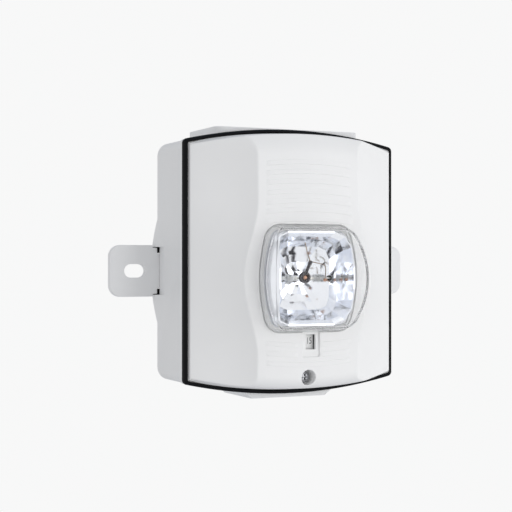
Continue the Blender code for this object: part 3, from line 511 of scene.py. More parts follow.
def front_columns():
    """Columns as (share of the panel's half width, share of the wing)."""
    shares = {0.0, *(round(k / PANEL_COLUMNS, 4) for k in range(1, PANEL_COLUMNS))}
    for end in (-RIB_GAP[0], RIB_GAP[1], RIB_END):
        shares.update((end - RIB_END_EDGE, end + RIB_END_EDGE))
    shares.update((0.955, 0.97, 0.98, 0.99, 1.0))
    half = [(s, 0.0) for s in spaced(shares, 0.004)] + [(1.0, w) for w in WING_COLUMNS]
    return [(-s, -w) for s, w in reversed(half[1:])] + half


def pillow(name, inset, rear, fine=True):
    """A closed solid under the front surface, or under its inner side when inset."""
    columns, rows = front_columns(), front_rows()
    if not fine:
        columns, rows = columns[::3] + columns[-1:], rows[::4] + rows[-1:]
    shrink = (FRONT_HALF_W - inset) / FRONT_HALF_W
    bm = bmesh.new()
    grid = []
    for t in rows:
        line = []
        for s, w in columns:
            z = t
            for _ in range(3):
                half_w = panel_half_width(z)
                x = s * half_w + w * (FRONT_HALF_W - half_w)
                z = row_height(t, x)
            z *= edge_height(x * shrink, inset) / edge_height(x)
            x *= shrink
            depth = front_depth(x, z, inset)
            if not inset:
                edge = min(FRONT_HALF_W - abs(x), edge_height(x) - abs(z))
                depth += rib_profile(t, s if not w else 2.0) - round_drop(edge, EDGE_ROUND)
            line.append(bm.verts.new((x, y_at(depth), z)))
        grid.append(line)
    for low, high in zip(grid, grid[1:]):
        for i in range(len(low) - 1):
            bm.faces.new((low[i], low[i + 1], high[i + 1], high[i]))
    base = (HEAD_HALF_W - 0.15 - inset) / (FRONT_HALF_W - inset)
    for share in (0.0, 1.0):
        rim = [edge for edge in bm.edges if edge.is_boundary]
        grown = bmesh.ops.extrude_edge_only(bm, edges=rim)["geom"]
        for v in (v for v in grown if isinstance(v, bmesh.types.BMVert)):
            if share:
                v.co.x *= base
                v.co.z *= 1 + FRONT_INSET / edge_height(v.co.x / base)
                v.co.y = -rear
            else:
                v.co.y += 0.05
    bmesh.ops.contextual_create(bm, geom=[e for e in bm.edges if e.is_boundary])
    return finish_mesh(name, bm, 30.0)


def flared_cutter(name, grow_outline, floor, edge=0.4):
    """A cutter down to a floor whose mouth rounds the edge that it leaves in the front surface."""
    rings = [[(x, floor, z) for x, z in grow_outline(0.0)]]
    for below, grow in rounding(edge, 4):
        rings.append([(x, y_at(front_depth(x, z) - below), z) for x, z in grow_outline(grow)])
    rings.append([(x, y_at(FAR_OUT), z) for x, z in grow_outline(edge + 0.4)])
    return loft(name, rings)


def make_front():
    """The white front of the head, with the lens's seat, the window and the screw's well cut in."""
    hollow = pillow("front_hollow", SHELL, HEAD_PLANE - 2.0, fine=False)
    cut(hollow, rod("well_wall", (0, y_at(7.5), SCREW.z), (0, y_at(40), SCREW.z), WELL_R + WELL_WALL))
    front = pillow("front_shell", 0.0, HEAD_PLANE)
    cut(front, hollow,
        flared_cutter("lens_seat", lambda grow: barrel_outline(LENS_GAP + grow), y_at(LENS_SEAT)),
        prism("lens_opening", rounded_rect(*LENS_OPENING, (0.0, LENS_Z)), y_at(5.0), y_at(FAR_OUT)),
        flared_cutter("surround", rect_outline(*SURROUND, 0.9), y_at(SURROUND_FLOOR), 0.3),
        prism("window", rect_outline(*WINDOW, 0.3)(0.0), y_at(5.0), y_at(FAR_OUT)),
        flared_cutter("well", round_outline(0.0, SCREW.z, WELL_R), y_at(WELL_SEAT), 0.35),
        rod("well_bore", (0, y_at(0), SCREW.z), (0, y_at(FAR_OUT), SCREW.z), WELL_BORE_R), sharp=30.0)
    return front


# ---- gasket, back box and flanges ----------------------------------------------------------


# The gasket's section as (growth of the head's outline, depth).
GASKET_SECTION = [(-4.4, -2.7), (1.4, -2.7), (1.55, -2.5), (1.6, -2.0), (1.55, -0.6), (1.3, 0.4), (0.9, 1.1),
                  (0.35, 1.5), (-0.1, 1.55), (-0.13, -0.3), (-4.4, -0.3)]


def make_gasket():
    """The black gasket: a ring whose outer lip wraps round the base of the head."""
    rings = [[(x, y_at(depth), z) for x, z in gasket_outline(grow)] for grow, depth in GASKET_SECTION]
    return loft("gasket_ring", rings, sharp=50.0, loop=True)


def gasket_outline(grow):
    """The head's outline at its base, grown, with wider corners further out."""
    half_w, half_h = HEAD_HALF_W + grow, HEAD_HALF_H + grow
    flat = rounded_rect(half_w, half_h, max(HEAD_CORNER + grow * 0.6, 0.5), level=60, upright=4)
    return [(x, z * (1 + GASKET_BOW / half_h * (1 - (x / half_w) ** 2))) for x, z in flat]


TOP_BOSS_HALF_W = 42.2
TOP_BOSS_CORNER = 4.5
BOTTOM_BOSS_HALF_W = 28.0
BOTTOM_BOSS_FLAT = 20.6
BOTTOM_BOSS_SLOPE = 5.0
BOSS_ROOT_Z = 50.0
BOX_HALF_H = 63.5
BOX_CORNER = 7.0
BOX_WALL = 3.0
BOX_FLANGE = 3.8
BOX_FRONT = -BOX_LOW.y
BOX_HALF_W = HEAD_HALF_W + GASKET_LIP - 0.3
SWELL = BOX_HIGH.x - BOX_HALF_W
SWELL_HALF_H = 28.0
SWELL_DEPTH = 14.0
SWELL_FULL = 0.2  # share of that depth over which it is at its full width
SWELL_SUNK = 0.3
SWELL_STEPS = 14
TAB_LOW, TAB_HIGH = span("mounting_flange_right")
TAB_Z = (TAB_LOW.z + TAB_HIGH.z) / 2
TAB_HALF_H = (TAB_HIGH.z - TAB_LOW.z) / 2
TAB_THICK = TAB_HIGH.y - TAB_LOW.y
TAB_ROOT, TAB_REACH = TAB_LOW.x, TAB_HIGH.x
TAB_NECK_HALF_H = 12.3
TAB_TONGUE_HALF_H = 9.3
TAB_CORNER = 6.2
SLOT_X = 74.6
SLOT_RUN = 2.4
SLOT_HALF_H = 3.6
GAP = 0.3
CONDUIT_R = 13.2
CONDUIT_Y = middle("conduit_plug_top").y
POST_XZ = 46.0
POST_R = 4.5
POST_END = -31.2
POST_HOLE_R = 1.65
WALL_HOLE = [(0, 1.0), (2.5, 1.0), (2.5, -2.4), (3.2, -3.1), (3.2, -4), (0, -4)]  # radius, Y
WALL_HOLE_X = 32.2
WALL_HOLE_Z = 39.1


def swelling_lobes(side):
    """The smooth swelling of the box's side towards the wall, above and below the flange's neck."""
    reach = (TAB_NECK_HALF_H + GAP + 0.15) / SWELL_HALF_H
    lobes = []
    for end in (-1, 1):
        rings = []
        for k in range(SWELL_STEPS + 1):
            share = k / SWELL_STEPS
            y = -0.01 - SWELL_DEPTH * share
            fade = math.cos(math.pi / 2 * max(share - SWELL_FULL, 0.0) / (1 - SWELL_FULL)) ** 2
            swell = SWELL * fade - 2 * SWELL_SUNK * share
            ring = [(side * (BOX_HALF_W - 2), y, TAB_Z + end * t * SWELL_HALF_H) for t in (1, reach)]
            for i in range(17):
                t = lerp(reach, 1.0, i / 16)
                x = BOX_HALF_W - SWELL_SUNK + (swell + SWELL_SUNK) * (1 - t * t)
                ring.append((side * x, y, TAB_Z + end * t * SWELL_HALF_H))
            rings.append(ring)
        lobes.append(loft("swelling_lobe", rings))
    return lobes


def make_box():
    """The box that stands on the wall."""
    body = slab("wall_box", lambda g: rounded_rect(BOX_HALF_W + g, BOX_HALF_H + g, BOX_CORNER + g),
                0.0, -BOX_FRONT + 0.4, rear_round=0.8)
    rim = slab("box_rim", lambda g: gasket_outline(GASKET_LIP - GAP + 0.03 + g),
               -BOX_FRONT + BOX_FLANGE, -BOX_FRONT, 0.6, 0.3)
    front = -BOX_FRONT + 0.2
    side = [(TOP_BOSS_HALF_W, 0.0)]
    side += [(TOP_BOSS_HALF_W - inset, front + along) for along, inset in rounding(TOP_BOSS_CORNER, 8)]
    top = prism("top_boss", mirrored(side), BOSS_ROOT_Z, BOX_HIGH.z, 0.5, "Z")
    right = [(BOTTOM_BOSS_FLAT + 1.0, BOX_LOW.z), (BOTTOM_BOSS_HALF_W, BOX_LOW.z + BOTTOM_BOSS_SLOPE),
             (BOTTOM_BOSS_HALF_W, -BOSS_ROOT_Z)]
    bottom = prism("bottom_boss", mirrored(right), 0.0, front, 0.8)
    unite(body, rim, top, bottom, *swelling_lobes(-1), *swelling_lobes(1))
    half_w, half_h = BOX_HALF_W - BOX_WALL, BOX_HALF_H - BOX_WALL
    cut(body,
        slab("wiring_space", lambda g: rounded_rect(half_w + g, half_h + g, 5.0 + g), -BOX_WALL, -50.0, 1.5),
        block("upper_pocket", (-38.0, -50.0, BOSS_ROOT_Z), (38.0, -BOX_WALL, 64.2), 1.0),
        block("lower_pocket", (-21.0, -50.0, -66.4), (21.0, -BOX_WALL, -BOSS_ROOT_Z), 1.0),
        rod("top_entry", (0, CONDUIT_Y, 55), (0, CONDUIT_Y, 80), CONDUIT_R, steps=64),
        rod("bottom_entry", (0, CONDUIT_Y, -80), (0, CONDUIT_Y, -55), CONDUIT_R, steps=64))
    corners = [(x, z) for x in (-1, 1) for z in (-1, 1)]
    posts = [(x * POST_XZ, z * POST_XZ) for x, z in corners]
    unite(body, *(rod("post", (x, -1.0, z), (x, POST_END, z), POST_R, 0.3) for x, z in posts))
    holes = []
    for (x, z), (post_x, post_z) in zip(corners, posts):
        holes.append(rod("post_hole", (post_x, -12.0, post_z), (post_x, POST_END - 1.8, post_z), POST_HOLE_R))
        holes.append(turned("wall_hole", WALL_HOLE, (x * WALL_HOLE_X, 0, z * WALL_HOLE_Z)))
    for side in (-1, 1):
        near, far = sorted((side * (TAB_ROOT - GAP), side * 62.0))
        reach = TAB_NECK_HALF_H + GAP
        holes.append(block("tab_groove", (near, -TAB_THICK - GAP, TAB_Z - reach), (far, 1.0, TAB_Z + reach)))
    cut(body, *holes)
    return body


def make_flange(name, side):
    """A side tab with a slot for the wall screw, its tongue let into the box's side."""
    neck_x, shoulder_x = BOX_HALF_W + 1.2, BOX_HALF_W + SWELL + GAP
    upper = [(TAB_ROOT, TAB_TONGUE_HALF_H), (neck_x, TAB_TONGUE_HALF_H), (neck_x, TAB_NECK_HALF_H),
             (shoulder_x, TAB_NECK_HALF_H), (shoulder_x, TAB_HALF_H)]
    upper += arc_points(TAB_REACH - TAB_CORNER, TAB_HALF_H - TAB_CORNER, TAB_CORNER, 90, -90, 12)
    outer = upper + [(x, -z) for x, z in reversed(upper)]
    flange = prism(name, [(side * x, z + TAB_Z) for x, z in outer], 0.0, -TAB_THICK, 0.35)
    slot = arc_points(SLOT_X + SLOT_RUN, TAB_Z, SLOT_HALF_H, -90, 180, 16)
    slot += arc_points(SLOT_X - SLOT_RUN, TAB_Z, SLOT_HALF_H, 90, 180, 16)
    cut(flange, prism("slot", [(side * x, z) for x, z in slot], 3.0, -9.0))
    return flange


# ---- lens, reflector and tube ---------------------------------------------------------------


def lens_front(z):
    rise = LENS_FRONT - LENS_END_FRONT
    radius = (LENS_HALF_H**2 + rise**2) / (2 * rise)
    away = min(abs(z - LENS_Z), LENS_HALF_H)
    return LENS_FRONT - radius + math.sqrt(radius**2 - away**2)


def lens_skin(grow, drop, edge):
    """Rings over the lens from its rear edge to the middle of its front."""
    rings = [[(x, y_at(LENS_REAR), z) for x, z in barrel_outline(grow)]]
    for share in (0.35, 0.7):
        rings.append([(x, y_at(lerp(LENS_REAR, lens_front(z) - drop - edge, share)), z)
                      for x, z in barrel_outline(grow - LENS_DRAFT * share)])
    for below, inset in rounding(edge, 5):
        rings.append([(x, y_at(lens_front(z) - drop - below), z)
                      for x, z in barrel_outline(grow - LENS_DRAFT - inset)])
    for inward in (0.9, 0.75, 0.58, 0.4, 0.22, 0.08):
        ring = []
        for x, z in barrel_outline(grow - LENS_DRAFT - edge):
            z = LENS_Z + (z - LENS_Z) * inward
            ring.append((x * inward, y_at(lens_front(z) - drop), z))
        rings.append(ring)
    return rings


def make_lens():
    """The clear lens: a shell of even wall, domed in front."""
    outer = lens_skin(0.0, 0.0, 1.3)
    inner = lens_skin(-LENS_WALL, LENS_WALL, 0.8)
    return loft("strobe_lens", outer[::-1] + inner, 50.0)


# The bowl's rings as (half width, half height, corner, depth); the first follows the lens's curve.
BOWL_RINGS = ((20.6, 23.3, 7.5, None), (19.2, 21.4, 7.2, 21.6), (17.6, 19.2, 7.0, 17.0),
              (15.4, 16.4, 6.6, 13.2), (11.8, 12.2, 5.2, 10.6), (8.2, 8.4, 3.6, 9.2), (3.4, 3.5, 1.6, 8.6))
FACET_TILT = 0.42
FACET_ANGLE = 5.0
BOWL_WALL = 0.8
RIM_DEPTH = 31.0
RIM_END_DEPTH = 23.6
SKIRT_GROW = -2.9
SKIRT_DEPTH = 20.6
SKIRT_RIM = (20.9, 23.6, 7.8)  # half width, half height, corner
SKIRT_SHARES = (0.0, 0.35, 0.7, 1.0)
SKIRT_THICK = 0.7
TUBE = middle("flash_tube")
TUBE_LOW, TUBE_HIGH = span("flash_tube")
TUBE_DEPTH = -TUBE.y - HEAD_PLANE
# Turned profiles as (radius, distance along the tube from its middle).
TUBE_GLASS = [(0, -9.5), (0.6, -9.5), (1.2, -9.1), (1.45, -8.2), (1.45, 7.7), (1.2, 8.6), (0.6, 9.0),
              (0, 9.0)]
TUBE_SOCKET = [(1.5, 5.8), (1.75, 6.0), (1.75, 7.0), (1.6, 7.2), (1.6, 8.5), (1.95, 8.7), (1.95, 9.6),
               (1.6, 9.9), (0.9, 10.2), (0.9, 12.4), (0.5, 12.4), (0.5, 9.6), (1.5, 9.4)]
ELECTRODE = [(0.4, 3.6), (0.85, 3.6), (1.0, 3.8), (1.0, 4.6), (0.85, 4.8), (0.4, 4.8)]
LEAD_R = 0.45
CLIP_R, CLIP_BORE, CLIP_HALF = 2.2, 1.5, 1.5
CLIP_EYE = [(1.4, 1.2), (2.7, 1.2), (3.05, 0.9), (3.1, -0.5), (2.8, -1.1), (2.2, -1.25), (1.6, -1.0),
            (1.4, -0.5)]
CLIP_RIVET = [(0, 0.8), (1.25, 0.8), (1.25, -0.5), (0.95, -0.85), (0.4, -1.0), (0, -1.0)]
WIRE_BEAD = [(0, -1.1), (0.5, -1.0), (0.85, -0.5), (0.95, 0.0), (0.85, 0.5), (0.5, 1.0), (0, 1.1)]


def rim_depth(z):
    return lerp(RIM_DEPTH, RIM_END_DEPTH, min((z - LENS_Z) ** 2 / 23.3**2, 1.0))


def bowl_ring(half_w, half_h, corner, depth, grow=0.0):
    """One ring of the bowl, its points a little in and out so that the facets tilt."""
    ring = []
    points = rounded_rect(half_w + grow, half_h + grow, corner + grow, (0.0, LENS_Z), 2, 3, 3)
    for i, (x, z) in enumerate(points):
        tilt = FACET_TILT * math.sin(2.3 * i + half_w)
        ring.append((x, y_at(rim_depth(z) if depth is None else depth - grow + tilt), z))
    return ring


def make_bowl():
    """The bright bowl behind the tube, pressed in flat facets."""
    inner = [bowl_ring(*ring) for ring in BOWL_RINGS]
    outer = [bowl_ring(*ring, grow=BOWL_WALL) for ring in BOWL_RINGS]
    made = loft("reflector_bowl", outer[::-1] + inner, FACET_ANGLE)
    cut(made, rod("lead_hole", (-30, TUBE.y, LENS_Z), (30, TUBE.y, LENS_Z), 1.4), sharp=FACET_ANGLE)
    return made


def make_skirt():
    """The bright skirt from the bowl's rim out to the lens's foot."""
    near = rounded_rect(*SKIRT_RIM, (0.0, LENS_Z), 10, 16, 24)
    far = barrel_outline(SKIRT_GROW)
    rings = []
    for share, thick in [(t, 0.0) for t in SKIRT_SHARES] + [(t, SKIRT_THICK) for t in SKIRT_SHARES[::-1]]:
        bulge = 1 - (1 - share) ** 1.5
        rings.append([(lerp(ax, bx, bulge), y_at(lerp(rim_depth(az) + 0.1, SKIRT_DEPTH, share) - thick),
                       lerp(az, bz, bulge)) for (ax, az), (bx, bz) in zip(near, far)])
    return loft("reflector_skirt", rings, 30.0, loop=True)


def make_tube():
    """The glass flash tube, its end caps and electrodes."""
    centre = (0, TUBE.y, LENS_Z)
    glass = turned("flash_glass", TUBE_GLASS, centre, "X", 32)
    caps = [turned(f"tube_socket_{name}", [(a, side * b) for a, b in TUBE_SOCKET], centre, "X", 32)
            for name, side in (("left", -1), ("right", 1))]
    leads = rod("tube_leads", (TUBE_LOW.x, TUBE.y, LENS_Z), (TUBE_HIGH.x, TUBE.y, LENS_Z), LEAD_R, 0.1, 16)
    for side in (-1, 1):
        unite(leads, turned("electrode", [(a, side * b) for a, b in ELECTRODE], centre, "X", 24))
    return glass, caps, leads


def tube_point(x, depth, rise):
    """A point by its x, its depth and its height over the tube's axis."""
    return (x, y_at(depth), LENS_Z + rise)


def make_clip():
    """The dark band round the tube, its rivet, and the arm that holds the trigger wire."""
    half_band = [(CLIP_R, CLIP_HALF - 0.5), (CLIP_R - 0.12, CLIP_HALF - 0.2), (CLIP_R - 0.5, CLIP_HALF),
                 (CLIP_BORE, CLIP_HALF)]
    profile = [(a, -b) for a, b in half_band[::-1]] + half_band
    band = turned("clip_band", profile, (0, TUBE.y, LENS_Z), "X", 40)
    eye_place = tube_point(0.0, TUBE_DEPTH + 2.2, 0.4)
    unite(band, turned("clip_eye", CLIP_EYE, eye_place, "Y", 40))
    rivet = turned("clip_rivet", CLIP_RIVET, eye_place, "Y", 24)
    foot, tip = Vector(tube_point(0.2, TUBE_DEPTH + 2.6, 2.4)), Vector(tube_point(1.0, 20.0, 8.2))
    arm = tube_along("clip_arm", [foot.lerp(tip, t) for t in (0.0, 0.3, 0.7, 1.0)], 0.85)
    unite(arm, tube_along("arm_cuff", [foot.lerp(tip, t) for t in (0.84, 0.9, 0.98, 1.08)], 1.1, 16))
    return band, rivet, arm, tip


def make_trigger_wires(tip):
    """The thin wire up from the clip's arm, and its loop across to the bead at the right."""
    up = [tip, tip + Vector((-0.5, -0.1, 1.6)), tube_point(-0.9, 20.4, 13.0), tube_point(-2.0, 20.0, 18.4)]
    across = [tip, tip + Vector((1.2, 0.0, 0.2)), tube_point(9.9, 19.0, 7.0), tube_point(10.7, 18.6, 5.2),
              tube_point(11.2, 17.0, -0.4)]
    bead = turned("wire_bead", WIRE_BEAD, tube_point(11.3, 16.8, -0.9), "X", 20)
    lead = tube_along("trigger_lead", bend(up, 1.4), 0.28, 10)
    return lead, tube_along("trigger_loop", bend(across, 1.6), 0.26, 10), bead


# ---- selector, screw and the painted shade in the tab grooves -------------------------------


SLIDE_LOW, SLIDE_HIGH = span("candela_slide")
SLIDE_FRONT = -SLIDE_LOW.y - HEAD_PLANE
STRIP_THICK = 1.0
STRIP_Z = (-46.4, -37.4)
STEM_HALF_W = 1.6
STEM_Z = -44.2
FIGURES = ("15", "30", "75", "95", "110")
FIGURE_PITCH = 6.0
FIGURE_X = 1.75
FIGURE_Z = -41.0
FIGURE_SIZE = (2.3, 3.3)  # width of two figures, height
TAB_X = (-1.1, 3.75)  # the first tab, from and to
TAB_Z_SPAN = (-46.1, -37.7)


def make_slide():
    """The selector strip: a grey base with a stem, and a white tab for each setting."""
    base = block("slide_base", (SLIDE_LOW.x, y_at(SLIDE_FRONT - 0.25), STRIP_Z[0]),
                 (SLIDE_HIGH.x, y_at(SLIDE_FRONT - STRIP_THICK), STRIP_Z[1]), 0.15)
    unite(base, block("slide_stem", (-STEM_HALF_W, y_at(SLIDE_FRONT - 0.6), STEM_Z - 1.5),
                      (STEM_HALF_W, SLIDE_HIGH.y, STEM_Z + 1.5), 0.3))
    tabs = []
    for k in range(len(FIGURES)):
        across = [min(x + k * FIGURE_PITCH, SLIDE_HIGH.x) for x in TAB_X]
        tabs.append(slab(f"slide_tab_{k + 1}", rect_outline(across, TAB_Z_SPAN, 0.4),
                         y_at(SLIDE_FRONT - 0.4), y_at(SLIDE_FRONT), 0.0, 0.12))
    return base, tabs


def make_figure(name, text, x, width):
    """Condensed figures, raised a twentieth of a millimetre."""
    curve = bpy.data.curves.new(name, "FONT")
    curve.body = text
    curve.extrude = 0.03
    curve.resolution_u = 4
    source = add_object(name + "_source", curve)
    bpy.context.view_layer.update()
    flat = bpy.data.meshes.new_from_object(source.evaluated_get(bpy.context.evaluated_depsgraph_get()))
    bm = bmesh.new()
    bm.from_mesh(flat)
    bpy.data.objects.remove(source, do_unlink=True)
    bpy.data.meshes.remove(flat)
    bpy.data.curves.remove(curve)
    bmesh.ops.remove_doubles(bm, verts=bm.verts, dist=0.0001)
    left, right = (pick(v.co.x for v in bm.verts) for pick in (min, max))
    foot, top = (pick(v.co.y for v in bm.verts) for pick in (min, max))
    for v in bm.verts:
        across = (v.co.x - (left + right) / 2) / (right - left) * width
        up = (v.co.y - (foot + top) / 2) / (top - foot) * FIGURE_SIZE[1]
        v.co = (x + across, y_at(SLIDE_FRONT) - (0.05 if v.co.z > 0 else -0.05), FIGURE_Z + up)
    return finish_mesh(name, bm)


def make_screw():
    """The captive cross-head screw, with its shank and the groove that holds its washer."""
    top, end = -SCREW_LOW.y - HEAD_PLANE, -SCREW_HIGH.y - HEAD_PLANE
    seat = top - SCREW_HEAD_THICK
    r, shank = SCREW_HEAD_R, SHANK_R
    profile = [(0, top), (1.4, top), (2.3, top - 0.2), (2.8, top - 0.55), (r, top - 1.1), (r, seat + 0.25),
               (r - 0.25, seat), (shank, seat), (shank, 0.1), (1.35, 0.1), (1.35, -2.1), (shank, -2.1)]
    depth = THREAD_START
    while depth - THREAD_PITCH > end + 1.0:
        profile += [(shank, depth), (shank - 0.3, depth - THREAD_PITCH / 2), (shank, depth - THREAD_PITCH)]
        depth -= THREAD_PITCH
    profile += [(shank - 0.5, end), (0, end)]
    screw = turned("cross_screw", [(a, -b) for a, b in profile], (0, -HEAD_PLANE, SCREW.z), "Y", 40)
    quarters = ((1, 1), (-1, 1), (-1, -1), (1, -1))
    arms = []
    for w, h in ((0.5, 1.75), (1.75, 0.5)):
        rings = [[(sx * w * k, y_at(d), SCREW.z + sz * h * k) for sx, sz in quarters]
                 for d, k in ((top + 0.3, 1.08), (top - 0.7, 0.8), (top - 1.5, 0.42))]
        arms.append(loft("cross_arm", rings))
    cut(screw, *arms)
    return screw


def make_groove_shade_fills():
    """Dark pieces of painted shade in the grooves beside each mounting flange's neck, where there is only a
    shadowed gap into the box.
    """
    shade_fills = []
    near, neck, far = TAB_ROOT + 0.8, BOX_HALF_W + 1.1, BOX_HALF_W + SWELL - 0.7
    low, mid, high = TAB_TONGUE_HALF_H + 0.25, TAB_NECK_HALF_H + 0.06, TAB_NECK_HALF_H + GAP + 0.1
    corner = [(near, low), (neck, low), (neck, mid), (far, mid), (far, high), (near, high)]
    for side, name in ((-1, "left"), (1, "right")):
        for end, place in ((-1, "lower"), (1, "upper")):
            outline = [(side * x, TAB_Z + end * z) for x, z in corner]
            shade_fills.append(prism(f"groove_shade_fill_{name}_{place}", outline, -0.4, -3.2, 0.05))
    return shade_fills


# ---- materials ------------------------------------------------------------------------------


NOISE_SPAN = (0.3, 0.7)  # the noise hardly ever leaves this span
WHITE = (1.0, 1.0, 1.0)


def fill(tree, made, inputs):
    """Set a node's inputs to values, or join them to other nodes' outputs."""
    for name, value in inputs.items():
        if isinstance(value, bpy.types.NodeSocket):
            tree.links.new(value, made.inputs[name])
        else:
            made.inputs[name].default_value = value


def add_node(tree, kind, output, inputs=None):
    """An output of a new shader node with its inputs filled."""
    made = tree.nodes.new("ShaderNode" + kind)
    fill(tree, made, inputs or {})
    return made.outputs[output]


def noise(tree, scale, detail=2.0, rough=0.5, stretch=None):
    place = add_node(tree, "TexCoord", "Object")
    if stretch:
        place = add_node(tree, "Mapping", "Vector", {"Vector": place, "Scale": stretch})
    return add_node(tree, "TexNoise", "Fac",
                    {"Vector": place, "Scale": scale, "Detail": detail, "Roughness": rough})


def shades(tree, source, color, low, high):
    """A colour that the noise makes darker or lighter, between two factors."""
    made = tree.nodes.new("ShaderNodeValToRGB")
    for stop, position, change in zip(made.color_ramp.elements, NOISE_SPAN, (low, high)):
        stop.position, stop.color = position, (*(clamp(c * change) for c in color), 1.0)
    tree.links.new(source, made.inputs["Fac"])
    return made.outputs["Color"]


def spread(tree, source, low, high):
    near, far = NOISE_SPAN
    return add_node(tree, "MapRange", "Result",
                    {"Value": source, "From Min": near, "From Max": far, "To Min": low, "To Max": high})


def bump(tree, source, strength, distance, onto=None):
    inputs = {"Height": source, "Strength": strength, "Distance": distance}
    if onto is not None:
        inputs["Normal"] = onto
    return add_node(tree, "Bump", "Normal", inputs)


# Each surface returns what its material's shader inputs are set to or joined to.


def plastic(tree, color, roughness, grain=0.25, grain_scale=2600.0, tint=0.02, specular=0.5):
    """Moulded plastic: a fine spark-eroded grain, a slow waviness, and faint shifts of tone."""
    fine = noise(tree, grain_scale, 3.0, 0.6)
    wavy = bump(tree, noise(tree, 120.0, 1.0), 0.05, 0.0004)
    return {"Base Color": shades(tree, noise(tree, 22.0, 3.0), color, 1 - tint, 1 + tint),
            "Roughness": spread(tree, fine, roughness - 0.05, roughness + 0.07),
            "Normal": bump(tree, fine, grain, 0.00006, wavy), "IOR": 1.5, "Specular IOR Level": specular}


def metal(tree, color, roughness, stretch=(1.0, 1.0, 1.0), scale=900.0, grain=0.1, spots=0.04):
    """Bare or plated metal with drawn or tumbled marks and slightly uneven polish."""
    marks = noise(tree, scale, 4.0, 0.6, stretch)
    return {"Base Color": shades(tree, noise(tree, 150.0), color, 1 - spots, 1 + spots),
            "Roughness": spread(tree, marks, max(roughness - 0.06, 0.02), roughness + 0.1),
            "Normal": bump(tree, marks, grain, 0.00003), "Metallic": 1.0}


def clear(tree, roughness, ior):
    """Clear moulding: faint flow ripples in its surface and barely uneven polish."""
    ripple = noise(tree, 160.0, 1.0)
    return {"Base Color": shades(tree, ripple, WHITE, 0.985, 1.0),
            "Roughness": spread(tree, noise(tree, 900.0), roughness, roughness + 0.015),
            "Normal": bump(tree, ripple, 0.04, 0.0002), "IOR": ior, "Transmission Weight": 1.0}


def milky(tree, color, roughness):
    """Translucent moulding, clouded a little by flow marks."""
    cloud = noise(tree, 350.0, 3.0)
    return {"Base Color": shades(tree, cloud, color, 0.94, 1.0),
            "Roughness": spread(tree, cloud, roughness, roughness + 0.12),
            "Normal": bump(tree, cloud, 0.08, 0.0001), "IOR": 1.45, "Transmission Weight": 0.75}


def make_material(name, surface, *settings):
    made = bpy.data.materials.new(name)
    made.use_nodes = True
    tree = made.node_tree
    fill(tree, tree.nodes["Principled BSDF"], surface(tree, *settings))
    return made


# Each material's surface and its settings, after its name.
RECIPES = {
    "housing_white": (plastic, (0.87, 0.87, 0.868), 0.4),
    "box_white": (plastic, (0.82, 0.822, 0.825), 0.46),
    "gasket_black": (plastic, (0.006, 0.006, 0.0065), 0.6, 0.5, 1500.0, 0.02, 0.12),
    "lens_clear": (clear, 0.0, 1.16),
    "reflector_bright": (metal, (0.89, 0.91, 0.955), 0.11, (1, 1, 1), 300.0, 0.05, 0.02),
    "tube_glass": (clear, 0.0, 1.47),
    "clip_dark": (metal, (0.09, 0.085, 0.09), 0.35),
    "wire_tinned": (metal, (0.72, 0.71, 0.68), 0.28),
    "screw_steel": (metal, (0.45, 0.455, 0.47), 0.3),
    "plate_grey": (plastic, (0.56, 0.57, 0.57), 0.5, 0.35),
    "terminal_black": (plastic, (0.02, 0.02, 0.023), 0.45),
    "contact_brass": (metal, (0.8, 0.62, 0.3), 0.28, (1, 1, 12)),
    "board_green": (plastic, (0.02, 0.16, 0.07), 0.4, 0.2, 1200.0, 0.12),
    "part_black": (plastic, (0.025, 0.025, 0.027), 0.4),
    "winding_copper": (metal, (0.7, 0.33, 0.16), 0.35, (1, 40, 1), 400.0, 0.6),
    "label_white": (plastic, (0.9, 0.9, 0.895), 0.5, 0.15),
    "figure_grey": (plastic, (0.09, 0.09, 0.095), 0.5, 0.1),
    "slide_grey": (plastic, (0.1, 0.1, 0.105), 0.5, 0.3),
    "seal_pale": (plastic, (0.72, 0.73, 0.74), 0.6),
    "wire_dull": (metal, (0.3, 0.25, 0.21), 0.35),
    "rivet_brown": (metal, (0.42, 0.25, 0.18), 0.3),
    "socket_milky": (milky, (0.93, 0.94, 0.95), 0.25),
}
MATERIALS = {name: make_material(name, *recipe) for name, recipe in RECIPES.items()}


def dress(piece, body, slot, *nodes, finish=None):
    """Attach a piece to its body, give it the material of its finish or else of its slot, and hide the CAD
    nodes that it stands for.
    """
    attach(piece, body)
    if nodes:
        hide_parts(*nodes)
    piece.data.materials.clear()
    piece.data.materials.append(MATERIALS[finish or slot])
    return piece


def dress_cad_nodes():
    """Give each CAD node the material of its slot; the lens's seal is shown pale."""
    for row in frame["record"]["subparts"]:
        node = frame["nodes"][row["node"]]
        node.data.materials.clear()
        node.data.materials.append(MATERIALS[row["material_slot"]])
    frame["nodes"]["lens_seal"].data.materials[0] = MATERIALS["seal_pale"]


# ---- camera, light and stage ----------------------------------------------------------------


CAMERA_YAW = math.radians(25.9)
CAMERA_PITCH = math.radians(-0.24)
CAMERA_DISTANCE = 690.0  # from the middle of the head plane
CAMERA_LENS = 91.57
CAMERA_SHIFT = -35.5 / 512
PALE = (0.936, 0.938, 0.938)
DOME_R = 6000.0
FLOOR_R = 3000.0
FLOOR_Z = -450.0


def make_camera():
    data = bpy.data.cameras.new("camera")
    data.sensor_width = 36.0
    data.lens = CAMERA_LENS
    data.shift_x = CAMERA_SHIFT
    data.clip_start = 0.01
    data.clip_end = 50.0
    camera = add_object("camera", data)
    level = Vector((-math.sin(CAMERA_YAW), -math.cos(CAMERA_YAW), 0.0))
    camera.location = (Vector((0.0, -HEAD_PLANE, 0.0)) + level * CAMERA_DISTANCE) * MM
    back = level * math.cos(CAMERA_PITCH) + Vector((0.0, 0.0, math.sin(CAMERA_PITCH)))
    camera.rotation_euler = back.to_track_quat("Z", "Y").to_euler()
    bpy.context.scene.camera = camera


